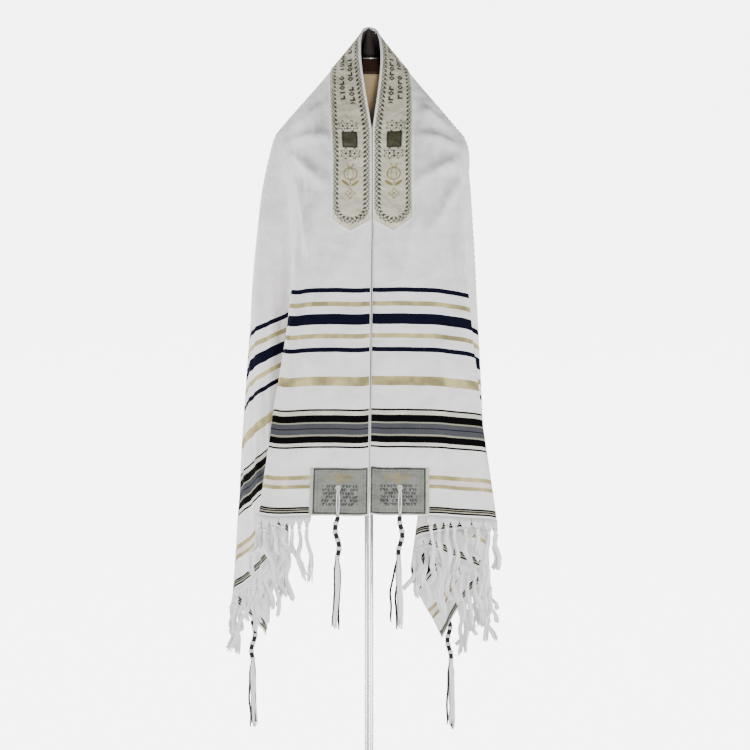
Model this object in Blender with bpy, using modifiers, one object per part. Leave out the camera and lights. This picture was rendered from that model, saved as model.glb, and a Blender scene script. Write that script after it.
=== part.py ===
"""Tallit prayer shawl draped over a limbless dress form on a stand.

Metres, +Z up, front towards -Y, origin on the floor under the form's axis.
The cloth is one rectangle, LENGTH x WIDTH.  Each half hangs from three supports: the finial
(peak), the shoulder line and the shoulder tip.  Every column of the drape is a straight line in
the flat cloth, from the shoulder line down to the hem; a fold table says where each column lies
at chest height and at the hem, and its height follows from its length, so the cloth is not
stretched along its columns.
"""
import bpy
import bmesh
import math
from collections import namedtuple
import numpy as np
from mathutils import Vector
from mathutils.bvhtree import BVHTree
from mathutils.interpolate import poly_3d_calc

# ---- the flat cloth ---------------------------------------------------------------------------
LENGTH = 1.83                  # long edge, worn across the shoulders
WIDTH = 0.80                   # short edge, fringed
HALF = LENGTH / 2
CLOTH_WALL = 0.0016
SEAM_GAP = 0.0003
TIP_ALONG = 0.187              # shoulder tip in the flat cloth: along the neck edge
TIP_DOWN = 0.194               # and away from it

# ---- where the cloth is carried ------------------------------------------------------------------
PEAK = (0.0, 0.004, 1.498)     # neck edge, on the finial
TIP_LEFT = (0.172, 0.0, 1.300)     # outward, depth, height
TIP_RIGHT = (0.1757, 0.0, 1.2965)
CHEST_AT = 0.30                # the share of a column at which the table's chest values hold
BULGE_RATE = 0.35              # how soon a column swings out below its top
NECK_OPENING = 0.017           # half width of the slit in front of the neck
NECK_SLIT_END = 0.24           # share of the front edge at which the two edges meet
EDGE_GAP = 0.0016              # half the gap between the two front edges
EDGE_SWAY = 0.006              # both edges bow towards the wearer's left
CALM_UNTIL = 0.16              # flutes die out over this share of a column, up to the tip

Fold = namedtuple("Fold", "name run out_chest depth_chest out_hem depth_hem calm")
# run: along the hem from the front corner.  out: from the middle plane.  depth: +back, -front.
LEFT_FOLDS = [
    Fold("front edge",     0.000, 0.000, -0.090, 0.000, -0.108, True),
    Fold("front inner",    0.064, 0.062, -0.102, 0.066, -0.114, True),
    Fold("front outer",    0.128, 0.106, -0.102, 0.130, -0.113, True),
    Fold("front fold",     0.192, 0.126, -0.086, 0.196, -0.104, True),
    Fold("pleat back",     0.290, 0.140, -0.058, 0.152, -0.060, False),
    Fold("pleat valley",   0.366, 0.148, -0.034, 0.150, 0.004, False),
    Fold("side front",     0.459, 0.178, -0.030, 0.182, -0.018, False),
    Fold("side middle",    0.544, 0.206, -0.014, 0.208, 0.008, True),
    Fold("side fold",      0.646, 0.208, 0.018, 0.254, 0.088, True),
    Fold("back corner",    0.800, 0.184, 0.044, 0.196, 0.172, True),
    Fold("back turn",      0.930, 0.176, 0.050, 0.186, 0.186, False),
    Fold("first valley",   1.062, 0.158, 0.052, 0.158, 0.162, False),
    Fold("second fold",    1.190, 0.182, 0.072, 0.204, 0.200, False),
    Fold("second valley",  1.320, 0.146, 0.084, 0.134, 0.180, False),
    Fold("back fold",      1.432, 0.166, 0.108, 0.188, 0.220, True),
    Fold("back outer",     1.503, 0.128, 0.110, 0.140, 0.214, True),
    Fold("back inner",     1.602, 0.068, 0.110, 0.077, 0.188, True),
    Fold("back middle",    1.715, 0.000, 0.105, 0.000, 0.162, True),
]
RIGHT_FOLDS = [
    Fold("front edge",     0.000, 0.000, -0.090, 0.000, -0.108, True),
    Fold("front inner",    0.068, 0.064, -0.102, 0.070, -0.114, True),
    Fold("front outer",    0.140, 0.122, -0.104, 0.144, -0.113, True),
    Fold("front fold",     0.219, 0.166, -0.090, 0.224, -0.104, True),
    Fold("pleat back",     0.262, 0.160, -0.068, 0.142, -0.088, False),
    Fold("pleat valley",   0.355, 0.152, -0.032, 0.084, -0.050, False),
    Fold("side front",     0.422, 0.166, -0.028, 0.130, -0.006, False),
    Fold("side fold",      0.565, 0.194, -0.006, 0.222, 0.055, True),
    Fold("side back",      0.623, 0.192, 0.014, 0.196, 0.113, True),
    Fold("back corner",    0.800, 0.182, 0.044, 0.137, 0.157, True),
    Fold("first valley",   1.002, 0.156, 0.055, 0.080, 0.122, False),
    Fold("second fold",    1.164, 0.180, 0.072, 0.168, 0.176, False),
    Fold("second valley",  1.308, 0.144, 0.082, 0.118, 0.164, False),
    Fold("back fold",      1.432, 0.168, 0.106, 0.188, 0.207, True),
    Fold("back outer",     1.503, 0.130, 0.110, 0.144, 0.208, True),
    Fold("back inner",     1.602, 0.068, 0.110, 0.077, 0.188, True),
    Fold("back middle",    1.715, 0.000, 0.105, 0.000, 0.162, True),
]


def bulge(t):
    """Zero at the top and the hem, one near CHEST_AT: t / k * exp(1 - t / k), less its end value."""
    rise = t / BULGE_RATE * np.exp(1 - t / BULGE_RATE)
    end = 1 / BULGE_RATE * math.exp(1 - 1 / BULGE_RATE)
    at = CHEST_AT / BULGE_RATE * math.exp(1 - CHEST_AT / BULGE_RATE) - CHEST_AT * end
    return (rise - t * end) / at


def smooth(value):
    value = np.clip(value, 0, 1)
    return value * value * (3 - 2 * value)


def spline(at, knots, values, slack=0.85):
    """Cardinal spline: each knot's slope is slack times the slope between its neighbours."""
    knots = np.asarray(knots)
    values = np.asarray(values)
    slopes = slack * np.gradient(values, knots)
    i = np.clip(np.searchsorted(knots, at, side="right") - 1, 0, len(knots) - 2)
    step = knots[i + 1] - knots[i]
    s = (at - knots[i]) / step
    return ((1 + 2 * s) * (1 - s) ** 2 * values[i] + s * (1 - s) ** 2 * step * slopes[i]
            + s * s * (3 - 2 * s) * values[i + 1] + s * s * (s - 1) * step * slopes[i + 1])


class HalfDrape:
    """One half of the shawl.  sign is -1 on the viewer's left and +1 on the right."""

    def __init__(self, sign, tip, folds):
        self.sign = sign
        self.tip = tip
        self.folds = folds
        runs = {fold.name: fold.run for fold in folds}
        self.front_run = runs["front fold"]
        self.back_run = runs["back fold"]
        self.total = runs["back middle"]
        self.back_along = self.total - self.back_run

    def hem_point(self, run):
        """Flat place of the hem at a run: down the fringed end, then back along the far edge."""
        along = np.where(run <= WIDTH, HALF, HALF - (run - WIDTH))
        return along, np.minimum(run, WIDTH)

    def top_share(self, run):
        """How far along the shoulder line, from peak to tip, the column starts."""
        share = np.where(run < self.front_run, run / self.front_run, 1.0)
        return np.where(run > self.back_run, (self.total - run) / self.back_along, share)

    def flat(self, run, t):
        """Place in the flat cloth of a point at share t of the column that ends at a run."""
        share = self.top_share(run)
        along, down = self.hem_point(run)
        return (TIP_ALONG * share * (1 - t) + along * t, TIP_DOWN * share * (1 - t) + down * t)

    def columns(self, along, down):
        """The run and the share t of a flat point: the inverse of flat()."""
        angle = np.arctan2(down - TIP_DOWN, along - TIP_ALONG)
        front_angle = math.atan2(self.front_run - TIP_DOWN, HALF - TIP_ALONG)
        back_angle = math.atan2(WIDTH - TIP_DOWN, self.back_along - TIP_ALONG)
        fan = (angle >= front_angle) & (angle <= back_angle)
        corner = math.atan2(WIDTH - TIP_DOWN, HALF - TIP_ALONG)
        safe = np.clip(angle, 0.02 + min(front_angle, 0), back_angle)
        side_run = TIP_DOWN + (HALF - TIP_ALONG) * np.tan(np.clip(angle, front_angle, corner))
        far_along = TIP_ALONG + (WIDTH - TIP_DOWN) / np.tan(np.clip(safe, corner, back_angle))
        fan_run = np.where(angle <= corner, side_run, WIDTH + HALF - far_along)
        fan_t = np.where(angle <= corner, (along - TIP_ALONG) / (HALF - TIP_ALONG),
                         (down - TIP_DOWN) / (WIDTH - TIP_DOWN))
        front = ~fan & (down * TIP_ALONG <= along * TIP_DOWN)
        q_front = self.share_of(along, down, HALF, TIP_ALONG, TIP_DOWN, self.front_run)
        q_back = self.share_of(down, along, WIDTH, TIP_DOWN, TIP_ALONG, self.back_along)
        t_front = (along - TIP_ALONG * q_front) / (HALF - TIP_ALONG * q_front)
        t_back = (down - TIP_DOWN * q_back) / (WIDTH - TIP_DOWN * q_back)
        run = np.where(fan, fan_run, np.where(front, q_front * self.front_run,
                                              self.total - q_back * self.back_along))
        return run, np.where(fan, fan_t, np.where(front, t_front, t_back))

    @staticmethod
    def share_of(far, near, edge, tip_far, tip_near, end_near):
        """Root of the quadratic that says which shoulder-line share a point's column starts at."""
        a = tip_far * end_near
        b = tip_near * edge + far * (end_near - tip_near) + near * tip_far
        root = np.sqrt(np.maximum(b * b - 4 * a * near * edge, 0))
        return np.clip((b - root) / (2 * a), 0, 1)

    def key(self, run, field, only_calm):
        rows = [fold for fold in self.folds if fold.calm or not only_calm]
        return spline(run, [fold.run for fold in rows], [getattr(fold, field) for fold in rows])

    def place(self, along, down, samples=14):
        """Flat point to room: (x, y, z).  The height is integrated so that lengths are kept."""
        along = np.asarray(along, float)
        down = np.asarray(down, float)
        run, t = self.columns(along, down)
        share = self.top_share(run)
        hem_along, hem_down = self.hem_point(run)
        length = np.hypot(hem_along - TIP_ALONG * share, hem_down - TIP_DOWN * share)
        top = [share * self.tip[0], PEAK[1] + share * (self.tip[1] - PEAK[1]),
               PEAK[2] + share * (self.tip[2] - PEAK[2])]
        values = {}
        for calm in (True, False):
            for field in ("out_chest", "depth_chest", "out_hem", "depth_hem"):
                values[field, calm] = self.key(run, field, calm)

        def aside(s):
            """Outward place and depth at share s of the same columns."""
            wave = smooth(s / CALM_UNTIL)
            result = []
            for axis, start in (("out", top[0]), ("depth", top[1])):
                sides = []
                for calm in (True, False):
                    hem = values[axis + "_hem", calm]
                    chest = values[axis + "_chest", calm]
                    straight = start + (hem - start) * s
                    swing = chest - (start + (hem - start) * CHEST_AT)
                    sides.append(straight + swing * bulge(s))
                result.append(sides[0] + (sides[1] - sides[0]) * wave)
            slit = np.sin(math.pi * np.clip(s / NECK_SLIT_END, 0, 1) ** 0.6)
            fade = (1 - np.minimum(share, 1)) ** 3 * (run < self.front_run)
            sway = self.sign * EDGE_SWAY * bulge(s) * (1 - share) * (run < self.front_run)
            gap = EDGE_GAP * smooth(s / 0.03) * (1 - share) * (run < self.front_run)
            result[0] = result[0] + NECK_OPENING * slit * fade + sway + gap
            return result

        nodes, weights = np.polynomial.legendre.leggauss(samples)
        drop = np.zeros_like(t)
        step = 0.002
        for node, weight in zip(nodes, weights):
            s = np.maximum(t * (node + 1) / 2, step)
            ahead = aside(s + step)
            behind = aside(s - step)
            sideways = (ahead[0] - behind[0]) ** 2 + (ahead[1] - behind[1]) ** 2
            slope = sideways / (2 * step * length) ** 2
            drop += weight * np.sqrt(np.maximum(1 - slope, 0.12))
        out, depth = aside(t)
        height = top[2] - drop * t * length / 2
        return np.stack([self.sign * out, depth, height], axis=-1)


LEFT = HalfDrape(-1, TIP_LEFT, LEFT_FOLDS)
RIGHT = HalfDrape(1, TIP_RIGHT, RIGHT_FOLDS)

# ---- what is sewn on -----------------------------------------------------------------------------
BAND_WIDTH = 0.074             # neckband
BAND_HALF = 0.385              # its length each side of the neck, up to the point
BAND_POINT = 0.022
SQUARE_ALONG = 0.085           # corner squares
SQUARE_DOWN = 0.104
LAID_WALL = 0.0011             # wall of what is sewn on
FRINGE_FROM = 0.100            # the fringed stretch of the short edge
FRINGE_TO = 0.704
FRINGE_LOCKS = 42
FRINGE_ROOT = 0.0032           # depth of the strip that the locks grow from
LOCK_LENGTH = 0.062
HOLE_ALONG = 0.048             # tassel hole, from the fringed edge and from the long edge
HOLE_DOWN = 0.052
HEAD_LENGTH = 0.075            # wound and knotted part of a corner tassel
# Its radius at the hole, halfway to the hem and at the hem, then at knots and coils down the head.
TASSEL_RADII = [0.0016, 0.0020, 0.0024, 0.0048, 0.0038, 0.0050, 0.0038, 0.0050, 0.0040]
TASSEL_LIFT = 0.0047           # its middle over the cloth's middle
TASSEL_END = 0.130             # loose ends below the wound part
STRAND_APART = 0.0018
EDGE_INSET = 0.0007            # sewn pieces stop this far inside the cloth's edge
FRINGE_GAP = 0.0012            # from the cloth's edge to the strip
FRINGE_WALL = 0.0012
LOCK_LEAN = 0.03               # locks swing out from the wall
LOCK_WANDER = 0.03             # and this much at random
LOCK_FALL = 0.65               # how far a lock turns from the cloth's slope to plumb

# ---- the form and its stand ----------------------------------------------------------------------
BASE_RADIUS = 0.170
BASE_HEIGHT = 0.014
POLE_RADIUS = 0.008
TORSO_FOOT = 0.780
# The dress form's rings, foot to neck: height, half width, half depth, middle's depth.
Ring = namedtuple("Ring", "height wide deep middle")
TORSO_RINGS = [
    Ring(TORSO_FOOT, 0.120, 0.080, 0.004),
    Ring(0.860, 0.122, 0.084, 0.004),
    Ring(0.960, 0.104, 0.070, 0.003),
    Ring(1.050, 0.112, 0.076, 0.002),
    Ring(1.120, 0.120, 0.082, 0.000),
    Ring(1.180, 0.124, 0.080, 0.000),
    Ring(1.225, 0.133, 0.066, 0.002),
    Ring(1.262, 0.148, 0.046, 0.002),
    Ring(1.282, 0.163, 0.022, 0.001),
    Ring(1.2932, 0.1708, 0.009, 0.001),
    Ring(1.2963, 0.1694, 0.007, 0.001),
    Ring(1.304, 0.120, 0.026, 0.002),
    Ring(1.318, 0.070, 0.040, 0.002),
    Ring(1.345, 0.050, 0.042, 0.001),
    Ring(1.407, 0.046, 0.040, 0.000),
]
CAP_FOOT = 1.4075
CAP_TOP = 1.4385
CAP_FOOT_RADIUS = 0.045
CAP_TOP_RADIUS = 0.030
FINIAL_TOP = 1.4950
FINIAL_FOOT_RADIUS = 0.012
FINIAL_TIP_RADIUS = 0.0035

for leftover in list(bpy.data.objects):
    bpy.data.objects.remove(leftover, do_unlink=True)
collection = bpy.data.collections.new("tallit_prayer_shawl")
bpy.context.scene.collection.children.link(collection)


def finish_material(name, colour, roughness, metallic=0.0):
    material = bpy.data.materials.new(name)
    material.use_nodes = True
    shader = material.node_tree.nodes["Principled BSDF"]
    shader.inputs["Base Color"].default_value = (*colour, 1)
    shader.inputs["Roughness"].default_value = roughness
    shader.inputs["Metallic"].default_value = metallic
    return material


WOVEN = finish_material("woven_acrylic_wool", (0.82, 0.82, 0.83), 0.85)
BROCADE = finish_material("silver_brocade", (0.52, 0.52, 0.49), 0.6)
YARN = finish_material("white_fringe_yarn", (0.84, 0.84, 0.85), 0.9)
CORD = finish_material("wound_tassel_cord", (0.45, 0.45, 0.46), 0.8)
LINEN = finish_material("tan_form_jersey", (0.42, 0.30, 0.22), 0.8)
WOOD = finish_material("dark_stained_wood", (0.03, 0.018, 0.012), 0.45)
STEEL = finish_material("brushed_steel", (0.55, 0.55, 0.56), 0.35, 1.0)


def add_mesh(name, vertices, faces, material, smooth_shaded=True):
    mesh = bpy.data.meshes.new(name)
    mesh.from_pydata([tuple(v) for v in vertices], [], [tuple(f) for f in faces])
    mesh.materials.append(material)
    mesh.validate()
    shape = bmesh.new()
    shape.from_mesh(mesh)
    bmesh.ops.recalc_face_normals(shape, faces=shape.faces)
    shape.to_mesh(mesh)
    shape.free()
    if smooth_shaded:
        mesh.shade_smooth()
        mesh.set_sharp_from_angle(angle=math.radians(40))
    item = bpy.data.objects.new(name, mesh)
    collection.objects.link(item)
    return item


def slab(name, faces, inner, outer, material):
    """A closed wall between two point sets that share one layout of triangles."""
    count = len(inner)
    edges = {}
    for face in faces:
        for start, end in zip(face, face[1:] + face[:1]):
            edges[start, end] = edges.get((start, end), 0) + 1
    rim = [(start, end) for start, end in edges if (end, start) not in edges]
    walls = [(start, end, end + count, start + count) for start, end in rim]
    back = [tuple(k + count for k in reversed(face)) for face in faces]
    return add_mesh(name, list(outer) + list(inner), list(faces) + walls + back, material)


# ---- the cloth -----------------------------------------------------------------------------------
SHOULDER_STEPS = 7             # columns that start along each side of the shoulder line
ROWS = 17
ROW_CROWDING = 1.35            # rows are closer near the tops
FAN_STEPS = {"pleat": 3, "side": 3, "back corner": 3, "back turn": 2,
             "first": 3, "second": 4, "back fold": 4}


def column_runs(half):
    """Runs of the columns: even along the shoulder line, and a few to each fold of the fan."""
    shares = np.linspace(0, 1, SHOULDER_STEPS)
    front = shares * half.front_run
    back = half.total - shares[::-1] * half.back_along
    fan = []
    keys = [f for f in half.folds if half.front_run <= f.run <= half.back_run]
    for before, after in zip(keys, keys[1:]):
        steps = next(count for word, count in FAN_STEPS.items() if after.name.startswith(word))
        fan.extend(np.linspace(before.run, after.run, steps + 1)[1:])
    return np.concatenate([front, fan[:-1], back])


class Cloth:
    """The draped cloth as flat triangles and their corners' places and outward directions."""

    def __init__(self):
        self.flat = []
        self.triangles = []
        self.index = {}
        self.hem_pairs = []        # each hem corner and the corner above it
        points = []
        shares = (np.arange(ROWS + 1) / ROWS) ** ROW_CROWDING
        for half in (LEFT, RIGHT):
            grid = []
            for run in column_runs(half):
                along, down = half.flat(np.full(ROWS + 1, run), shares)
                column = half.place(along, down)
                grid.append([self.corner(a * half.sign, d, place, points)
                             for a, d, place in zip(along, down, column)])
                self.hem_pairs.append((grid[-1][ROWS], grid[-1][ROWS - 1]))
            for one, two in zip(grid, grid[1:]):
                for row in range(ROWS):
                    for loop in ((one[row], one[row + 1], two[row + 1]),
                                 (one[row], two[row + 1], two[row])):
                        if len(set(loop)) == 3:
                            self.triangles.append(loop if half.sign > 0 else loop[::-1])
        self.points = np.array(points)
        self.normals = self.corner_normals()
        self.tree = BVHTree.FromPolygons([(a, d, 0) for a, d in self.flat], self.triangles)

    def corner(self, along, down, place, points):
        key = (round(float(along), 6) + 0.0, round(float(down), 6) + 0.0)
        if key not in self.index:
            self.index[key] = len(self.flat)
            self.flat.append(key)
            points.append(place)
        return self.index[key]

    def corner_normals(self):
        """Each corner's direction: its triangles' directions, weighed by their angles there."""
        loops = np.array(self.triangles)
        corners = self.points[loops]
        facing = np.cross(corners[:, 1] - corners[:, 0], corners[:, 2] - corners[:, 0])
        area = np.linalg.norm(facing, axis=1)
        normals = np.zeros_like(self.points)
        for k in range(3):
            one = corners[:, (k + 1) % 3] - corners[:, k]
            two = corners[:, (k + 2) % 3] - corners[:, k]
            angle = np.arctan2(area, (one * two).sum(axis=1))
            np.add.at(normals, loops[:, k], facing * (angle / area)[:, None])
        at_hem, above = np.array(self.hem_pairs).T
        normals[at_hem] = normals[above]
        return normals / np.linalg.norm(normals, axis=1, keepdims=True)

    def at(self, along, down):
        """Place and outward direction on the triangles, for one signed flat point."""
        found, _, face, _ = self.tree.find_nearest((along, down, 0))
        corners = [Vector((*self.flat[k], 0)) for k in self.triangles[face]]
        shares = np.array(poly_3d_calc(corners, found))
        loop = list(self.triangles[face])
        return shares @ self.points[loop], shares @ self.normals[loop]


def cloth_wall(cloth):
    half_wall = cloth.normals * CLOTH_WALL / 2
    return slab("shawl_cloth", cloth.triangles, cloth.points - half_wall, cloth.points + half_wall,
                WOVEN)


# ---- pieces laid on the cloth --------------------------------------------------------------------
def laid(name, cloth, planes, material):
    """The part of the cloth inside the flat half planes, moved out by a seam gap, with a wall."""
    shape = bmesh.new()
    corners = [shape.verts.new((a, d, 0)) for a, d in cloth.flat]
    for loop in cloth.triangles:
        shape.faces.new([corners[k] for k in loop])
    for point, outward in planes:
        bmesh.ops.bisect_plane(shape, geom=shape.verts[:] + shape.edges[:] + shape.faces[:],
                               dist=1e-6, plane_co=(*point, 0), plane_no=(*outward, 0),
                               clear_outer=True)
    bmesh.ops.triangulate(shape, faces=shape.faces[:])
    shape.verts.index_update()
    spots = [cloth.at(v.co.x, v.co.y) for v in shape.verts]
    faces = [tuple(v.index for v in face.verts) for face in shape.faces]
    shape.free()
    points = np.array([place for place, _ in spots])
    out = np.array([direction for _, direction in spots])
    near = CLOTH_WALL / 2 + SEAM_GAP
    return slab(name, faces, points + out * near, points + out * (near + LAID_WALL), material)


def neckband(cloth):
    slant = BAND_POINT / (BAND_WIDTH / 2)
    planes = [((0, EDGE_INSET), (0, -1)), ((0, BAND_WIDTH), (0, 1))]
    for sign in (-1, 1):
        tip = (sign * (BAND_HALF + BAND_POINT), BAND_WIDTH / 2)
        planes += [(tip, (sign, slant)), (tip, (sign, -slant))]
    return laid("neckband", cloth, planes, BROCADE)


def corner_square(name, cloth, sign, from_down, to_down):
    planes = [((sign * (HALF - SQUARE_ALONG), 0), (-sign, 0)),
              ((sign * (HALF - EDGE_INSET), 0), (sign, 0)),
              ((0, from_down), (0, -1)), ((0, to_down), (0, 1))]
    return laid(name, cloth, planes, BROCADE)


# ---- fringe --------------------------------------------------------------------------------------
def hem(cloth, half, down):
    """Place, outward direction and downward direction at a point of the short edge."""
    place, out = cloth.at(half.sign * HALF, down)
    above, _ = cloth.at(half.sign * (HALF - 0.01), down)
    return place, out, (place - above) / np.linalg.norm(place - above)


def fringe(name, cloth, half, seed):
    """A narrow strip below the short edge; every second bay of it grows down into a lock."""
    chance = np.random.default_rng(seed)
    marks = np.linspace(FRINGE_FROM, FRINGE_TO, 2 * FRINGE_LOCKS + 1)
    vertices = []
    faces = [(0, 1, 2, 3), tuple(4 * (len(marks) - 1) + k for k in (3, 2, 1, 0))]
    frames = [hem(cloth, half, mark) for mark in marks]
    for place, out, down in frames:
        top = place + down * FRINGE_GAP
        foot = top + down * FRINGE_ROOT
        side = out * FRINGE_WALL / 2
        vertices += [top + side, foot + side, foot - side, top - side]
    for bay in range(len(marks) - 1):
        a, b = 4 * bay, 4 * bay + 4
        faces += [(a, b, b + 1, a + 1), (a + 3, a, b, b + 3), (a + 2, b + 2, b + 3, a + 3)]
        loop = [a + 1, b + 1, b + 2, a + 2]
        if bay % 2:
            faces.append(tuple(loop))
            continue
        root = np.array([vertices[k] for k in loop])
        middle = root.mean(axis=0)
        down = frames[bay][2] * (1 - LOCK_FALL) + np.array([0, 0, -LOCK_FALL])
        lean = frames[bay][1] * LOCK_LEAN + chance.normal(0, LOCK_WANDER, 3)
        length = LOCK_LENGTH * chance.uniform(0.85, 1.12)
        for share, size in ((0.5, 0.85), (1.0, 0.45)):
            centre = middle + (down + lean * share) * length * share
            ring = [len(vertices) + k for k in range(4)]
            vertices += list(centre + (root - middle) * size)
            faces += [(loop[k], loop[(k + 1) % 4], ring[(k + 1) % 4], ring[k]) for k in range(4)]
            loop = ring
        faces.append(tuple(loop))
    return add_mesh(name, vertices, faces, YARN, smooth_shaded=False)


# ---- corner tassels ------------------------------------------------------------------------------
def tassel(name, cloth, half, hole_down, seed):
    """A wound cord from the hole over the hem, then four loose ends."""
    chance = np.random.default_rng(seed)
    path = []
    for above in (HOLE_ALONG, HOLE_ALONG / 2, 0):
        place, out = cloth.at(half.sign * (HALF - above), hole_down)
        path.append(place + TASSEL_LIFT * out)
    hang = path[-1].copy()
    for k in range(1, 7):
        sway = 0.003 * math.sin(1.3 * k + seed)
        path.append(hang + np.array([sway, 0, -HEAD_LENGTH * k / 6]))
    sides = 8
    vertices = []
    faces = []
    path = np.array(path)
    tangents = np.gradient(path, axis=0)
    side_axis = np.array([1.0, 0, 0])
    for centre, tangent, radius in zip(path, tangents, TASSEL_RADII):
        tangent = tangent / np.linalg.norm(tangent)
        front_axis = np.cross(tangent, side_axis)
        front_axis /= np.linalg.norm(front_axis)
        level_axis = np.cross(front_axis, tangent)
        for k in range(sides):
            angle = 2 * math.pi * k / sides
            vertices.append(centre + radius * (math.cos(angle) * level_axis
                                               + math.sin(angle) * front_axis))
    for ring in range(len(path) - 1):
        a = ring * sides
        faces += [(a + k, a + (k + 1) % sides, a + sides + (k + 1) % sides, a + sides + k)
                  for k in range(sides)]
    faces.append(tuple(range(sides)))
    last = (len(path) - 1) * sides
    middle = len(vertices)
    vertices.append(path[-1].copy())
    for quarter in range(4):
        loop = [last + 2 * quarter, last + 2 * quarter + 1, last + (2 * quarter + 2) % sides, middle]
        centre = np.mean([vertices[k] for k in loop], axis=0)
        away = (centre - path[-1]) / np.linalg.norm(centre - path[-1])
        for share in (0.35, 1.0):
            spread = away * 0.006 * share + np.array([0, 0, -TASSEL_END * share
                                                      * chance.uniform(0.95, 1.0)])
            ring = [len(vertices) + k for k in range(4)]
            corners = np.array([vertices[k] for k in loop])
            centred = corners - corners.mean(axis=0)
            vertices += list(path[-1] + away * STRAND_APART + spread + centred * 0.8)
            faces += [(loop[k], loop[(k + 1) % 4], ring[(k + 1) % 4], ring[k]) for k in range(4)]
            loop = ring
        faces.append(tuple(loop))
    return add_mesh(name, vertices, faces, CORD)


# ---- the form ------------------------------------------------------------------------------------
def torso():
    sides = 32
    vertices = []
    faces = []
    for ring in TORSO_RINGS:
        for k in range(sides):
            angle = 2 * math.pi * k / sides
            vertices.append((ring.wide * math.cos(angle), ring.middle + ring.deep * math.sin(angle),
                             ring.height))
    for level in range(len(TORSO_RINGS) - 1):
        a = level * sides
        faces += [(a + k, a + (k + 1) % sides, a + sides + (k + 1) % sides, a + sides + k)
                  for k in range(sides)]
    faces.append(tuple(range(sides)))
    faces.append(tuple(range(len(vertices) - sides, len(vertices))))
    return add_mesh("form_torso", vertices, faces, LINEN)


def turned(name, profile, material, steps=24):
    """A solid turned about the Z axis from an outer profile that runs from top to bottom."""
    mesh = bpy.data.meshes.new(name)
    mesh.from_pydata([(radius, 0, height) for radius, height in profile], [],
                     [(k, k + 1) for k in range(len(profile) - 1)])
    mesh.materials.append(material)
    item = bpy.data.objects.new(name, mesh)
    collection.objects.link(item)
    screw = item.modifiers.new("turn", "SCREW")
    screw.steps = steps
    screw.render_steps = steps
    screw.use_merge_vertices = True
    screw.merge_threshold = 0.0001
    screw.use_normal_flip = True
    return item


def stand():
    turned("neck_cap", [(0, CAP_TOP), (CAP_TOP_RADIUS - 0.003, CAP_TOP),
                        (CAP_TOP_RADIUS, CAP_TOP - 0.003), (CAP_FOOT_RADIUS, CAP_FOOT + 0.004),
                        (CAP_FOOT_RADIUS, CAP_FOOT), (0, CAP_FOOT)], WOOD)
    tip = FINIAL_TOP - FINIAL_TIP_RADIUS
    dome = [(FINIAL_TIP_RADIUS * math.sin(a), tip + FINIAL_TIP_RADIUS * math.cos(a))
            for a in np.linspace(0, math.pi / 2, 5)]
    turned("finial", dome + [(0.0078, 1.470), (FINIAL_FOOT_RADIUS, 1.450),
                             (FINIAL_FOOT_RADIUS + 0.001, CAP_TOP + SEAM_GAP),
                             (0, CAP_TOP + SEAM_GAP)], WOOD)
    pole_foot = BASE_HEIGHT + SEAM_GAP
    pole_top = TORSO_FOOT - SEAM_GAP
    turned("stand_pole", [(0, pole_top), (POLE_RADIUS, pole_top), (POLE_RADIUS, pole_foot + 0.03),
                          (POLE_RADIUS + 0.008, pole_foot + 0.02), (POLE_RADIUS + 0.008, pole_foot),
                          (0, pole_foot)], STEEL)
    turned("stand_base", [(0, BASE_HEIGHT), (BASE_RADIUS - 0.006, BASE_HEIGHT),
                          (BASE_RADIUS, BASE_HEIGHT - 0.006), (BASE_RADIUS, 0), (0, 0)], STEEL, 48)


shawl = Cloth()
cloth_wall(shawl)
neckband(shawl)
for side, half in (("left", LEFT), ("right", RIGHT)):
    corner_square("corner_square_front_" + side, shawl, half.sign, EDGE_INSET, SQUARE_DOWN)
    corner_square("corner_square_back_" + side, shawl, half.sign, WIDTH - SQUARE_DOWN,
                  WIDTH - EDGE_INSET)
    fringe("fringe_" + side, shawl, half, 7 + half.sign)
    tassel("tzitzit_front_" + side, shawl, half, HOLE_DOWN, 3 + half.sign)
    tassel("tzitzit_back_" + side, shawl, half, WIDTH - HOLE_DOWN, 6 + half.sign)
torso()
stand()
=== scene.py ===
"""Looks of a tallit prayer shawl on a limbless dress form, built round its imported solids.

Metres, +Z up, front towards -Y.  The cloth, what is sewn on it, its fringes and its corner tassels
are grids and tubes worked out with numpy from the drape's fold tables; the form and its stand are
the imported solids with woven, wooden and brushed finishes.
"""
import bpy
import math
from collections import namedtuple
import numpy as np
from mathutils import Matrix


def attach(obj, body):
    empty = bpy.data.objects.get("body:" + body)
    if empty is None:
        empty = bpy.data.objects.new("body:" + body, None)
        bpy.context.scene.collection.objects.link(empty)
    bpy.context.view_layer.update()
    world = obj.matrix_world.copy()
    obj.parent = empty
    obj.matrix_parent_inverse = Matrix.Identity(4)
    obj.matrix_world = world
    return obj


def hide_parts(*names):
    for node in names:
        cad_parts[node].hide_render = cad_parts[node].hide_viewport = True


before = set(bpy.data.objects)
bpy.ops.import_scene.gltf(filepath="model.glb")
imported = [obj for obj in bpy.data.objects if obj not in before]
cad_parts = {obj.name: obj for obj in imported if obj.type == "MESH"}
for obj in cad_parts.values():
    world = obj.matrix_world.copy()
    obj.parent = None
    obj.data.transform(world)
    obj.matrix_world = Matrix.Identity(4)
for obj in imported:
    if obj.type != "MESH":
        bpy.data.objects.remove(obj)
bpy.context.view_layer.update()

# ---- The cloth: one rectangle of white wool with woven stripes, hung from the finial and the two
# shoulder tips of the form.  Every column of the drape is a straight line in the flat cloth; the
# fold tables say where it lies at chest height and at the hem, and its height keeps its length.
LENGTH = 1.83                  # long edge, worn across the shoulders
WIDTH = 0.80                   # short edge, fringed
HALF = LENGTH / 2
TIP_ALONG = 0.187              # shoulder tip in the flat cloth: along the neck edge
TIP_DOWN = 0.194               # and away from it
PEAK = (0.0, 0.004, 1.498)     # neck edge, on the finial
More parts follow.
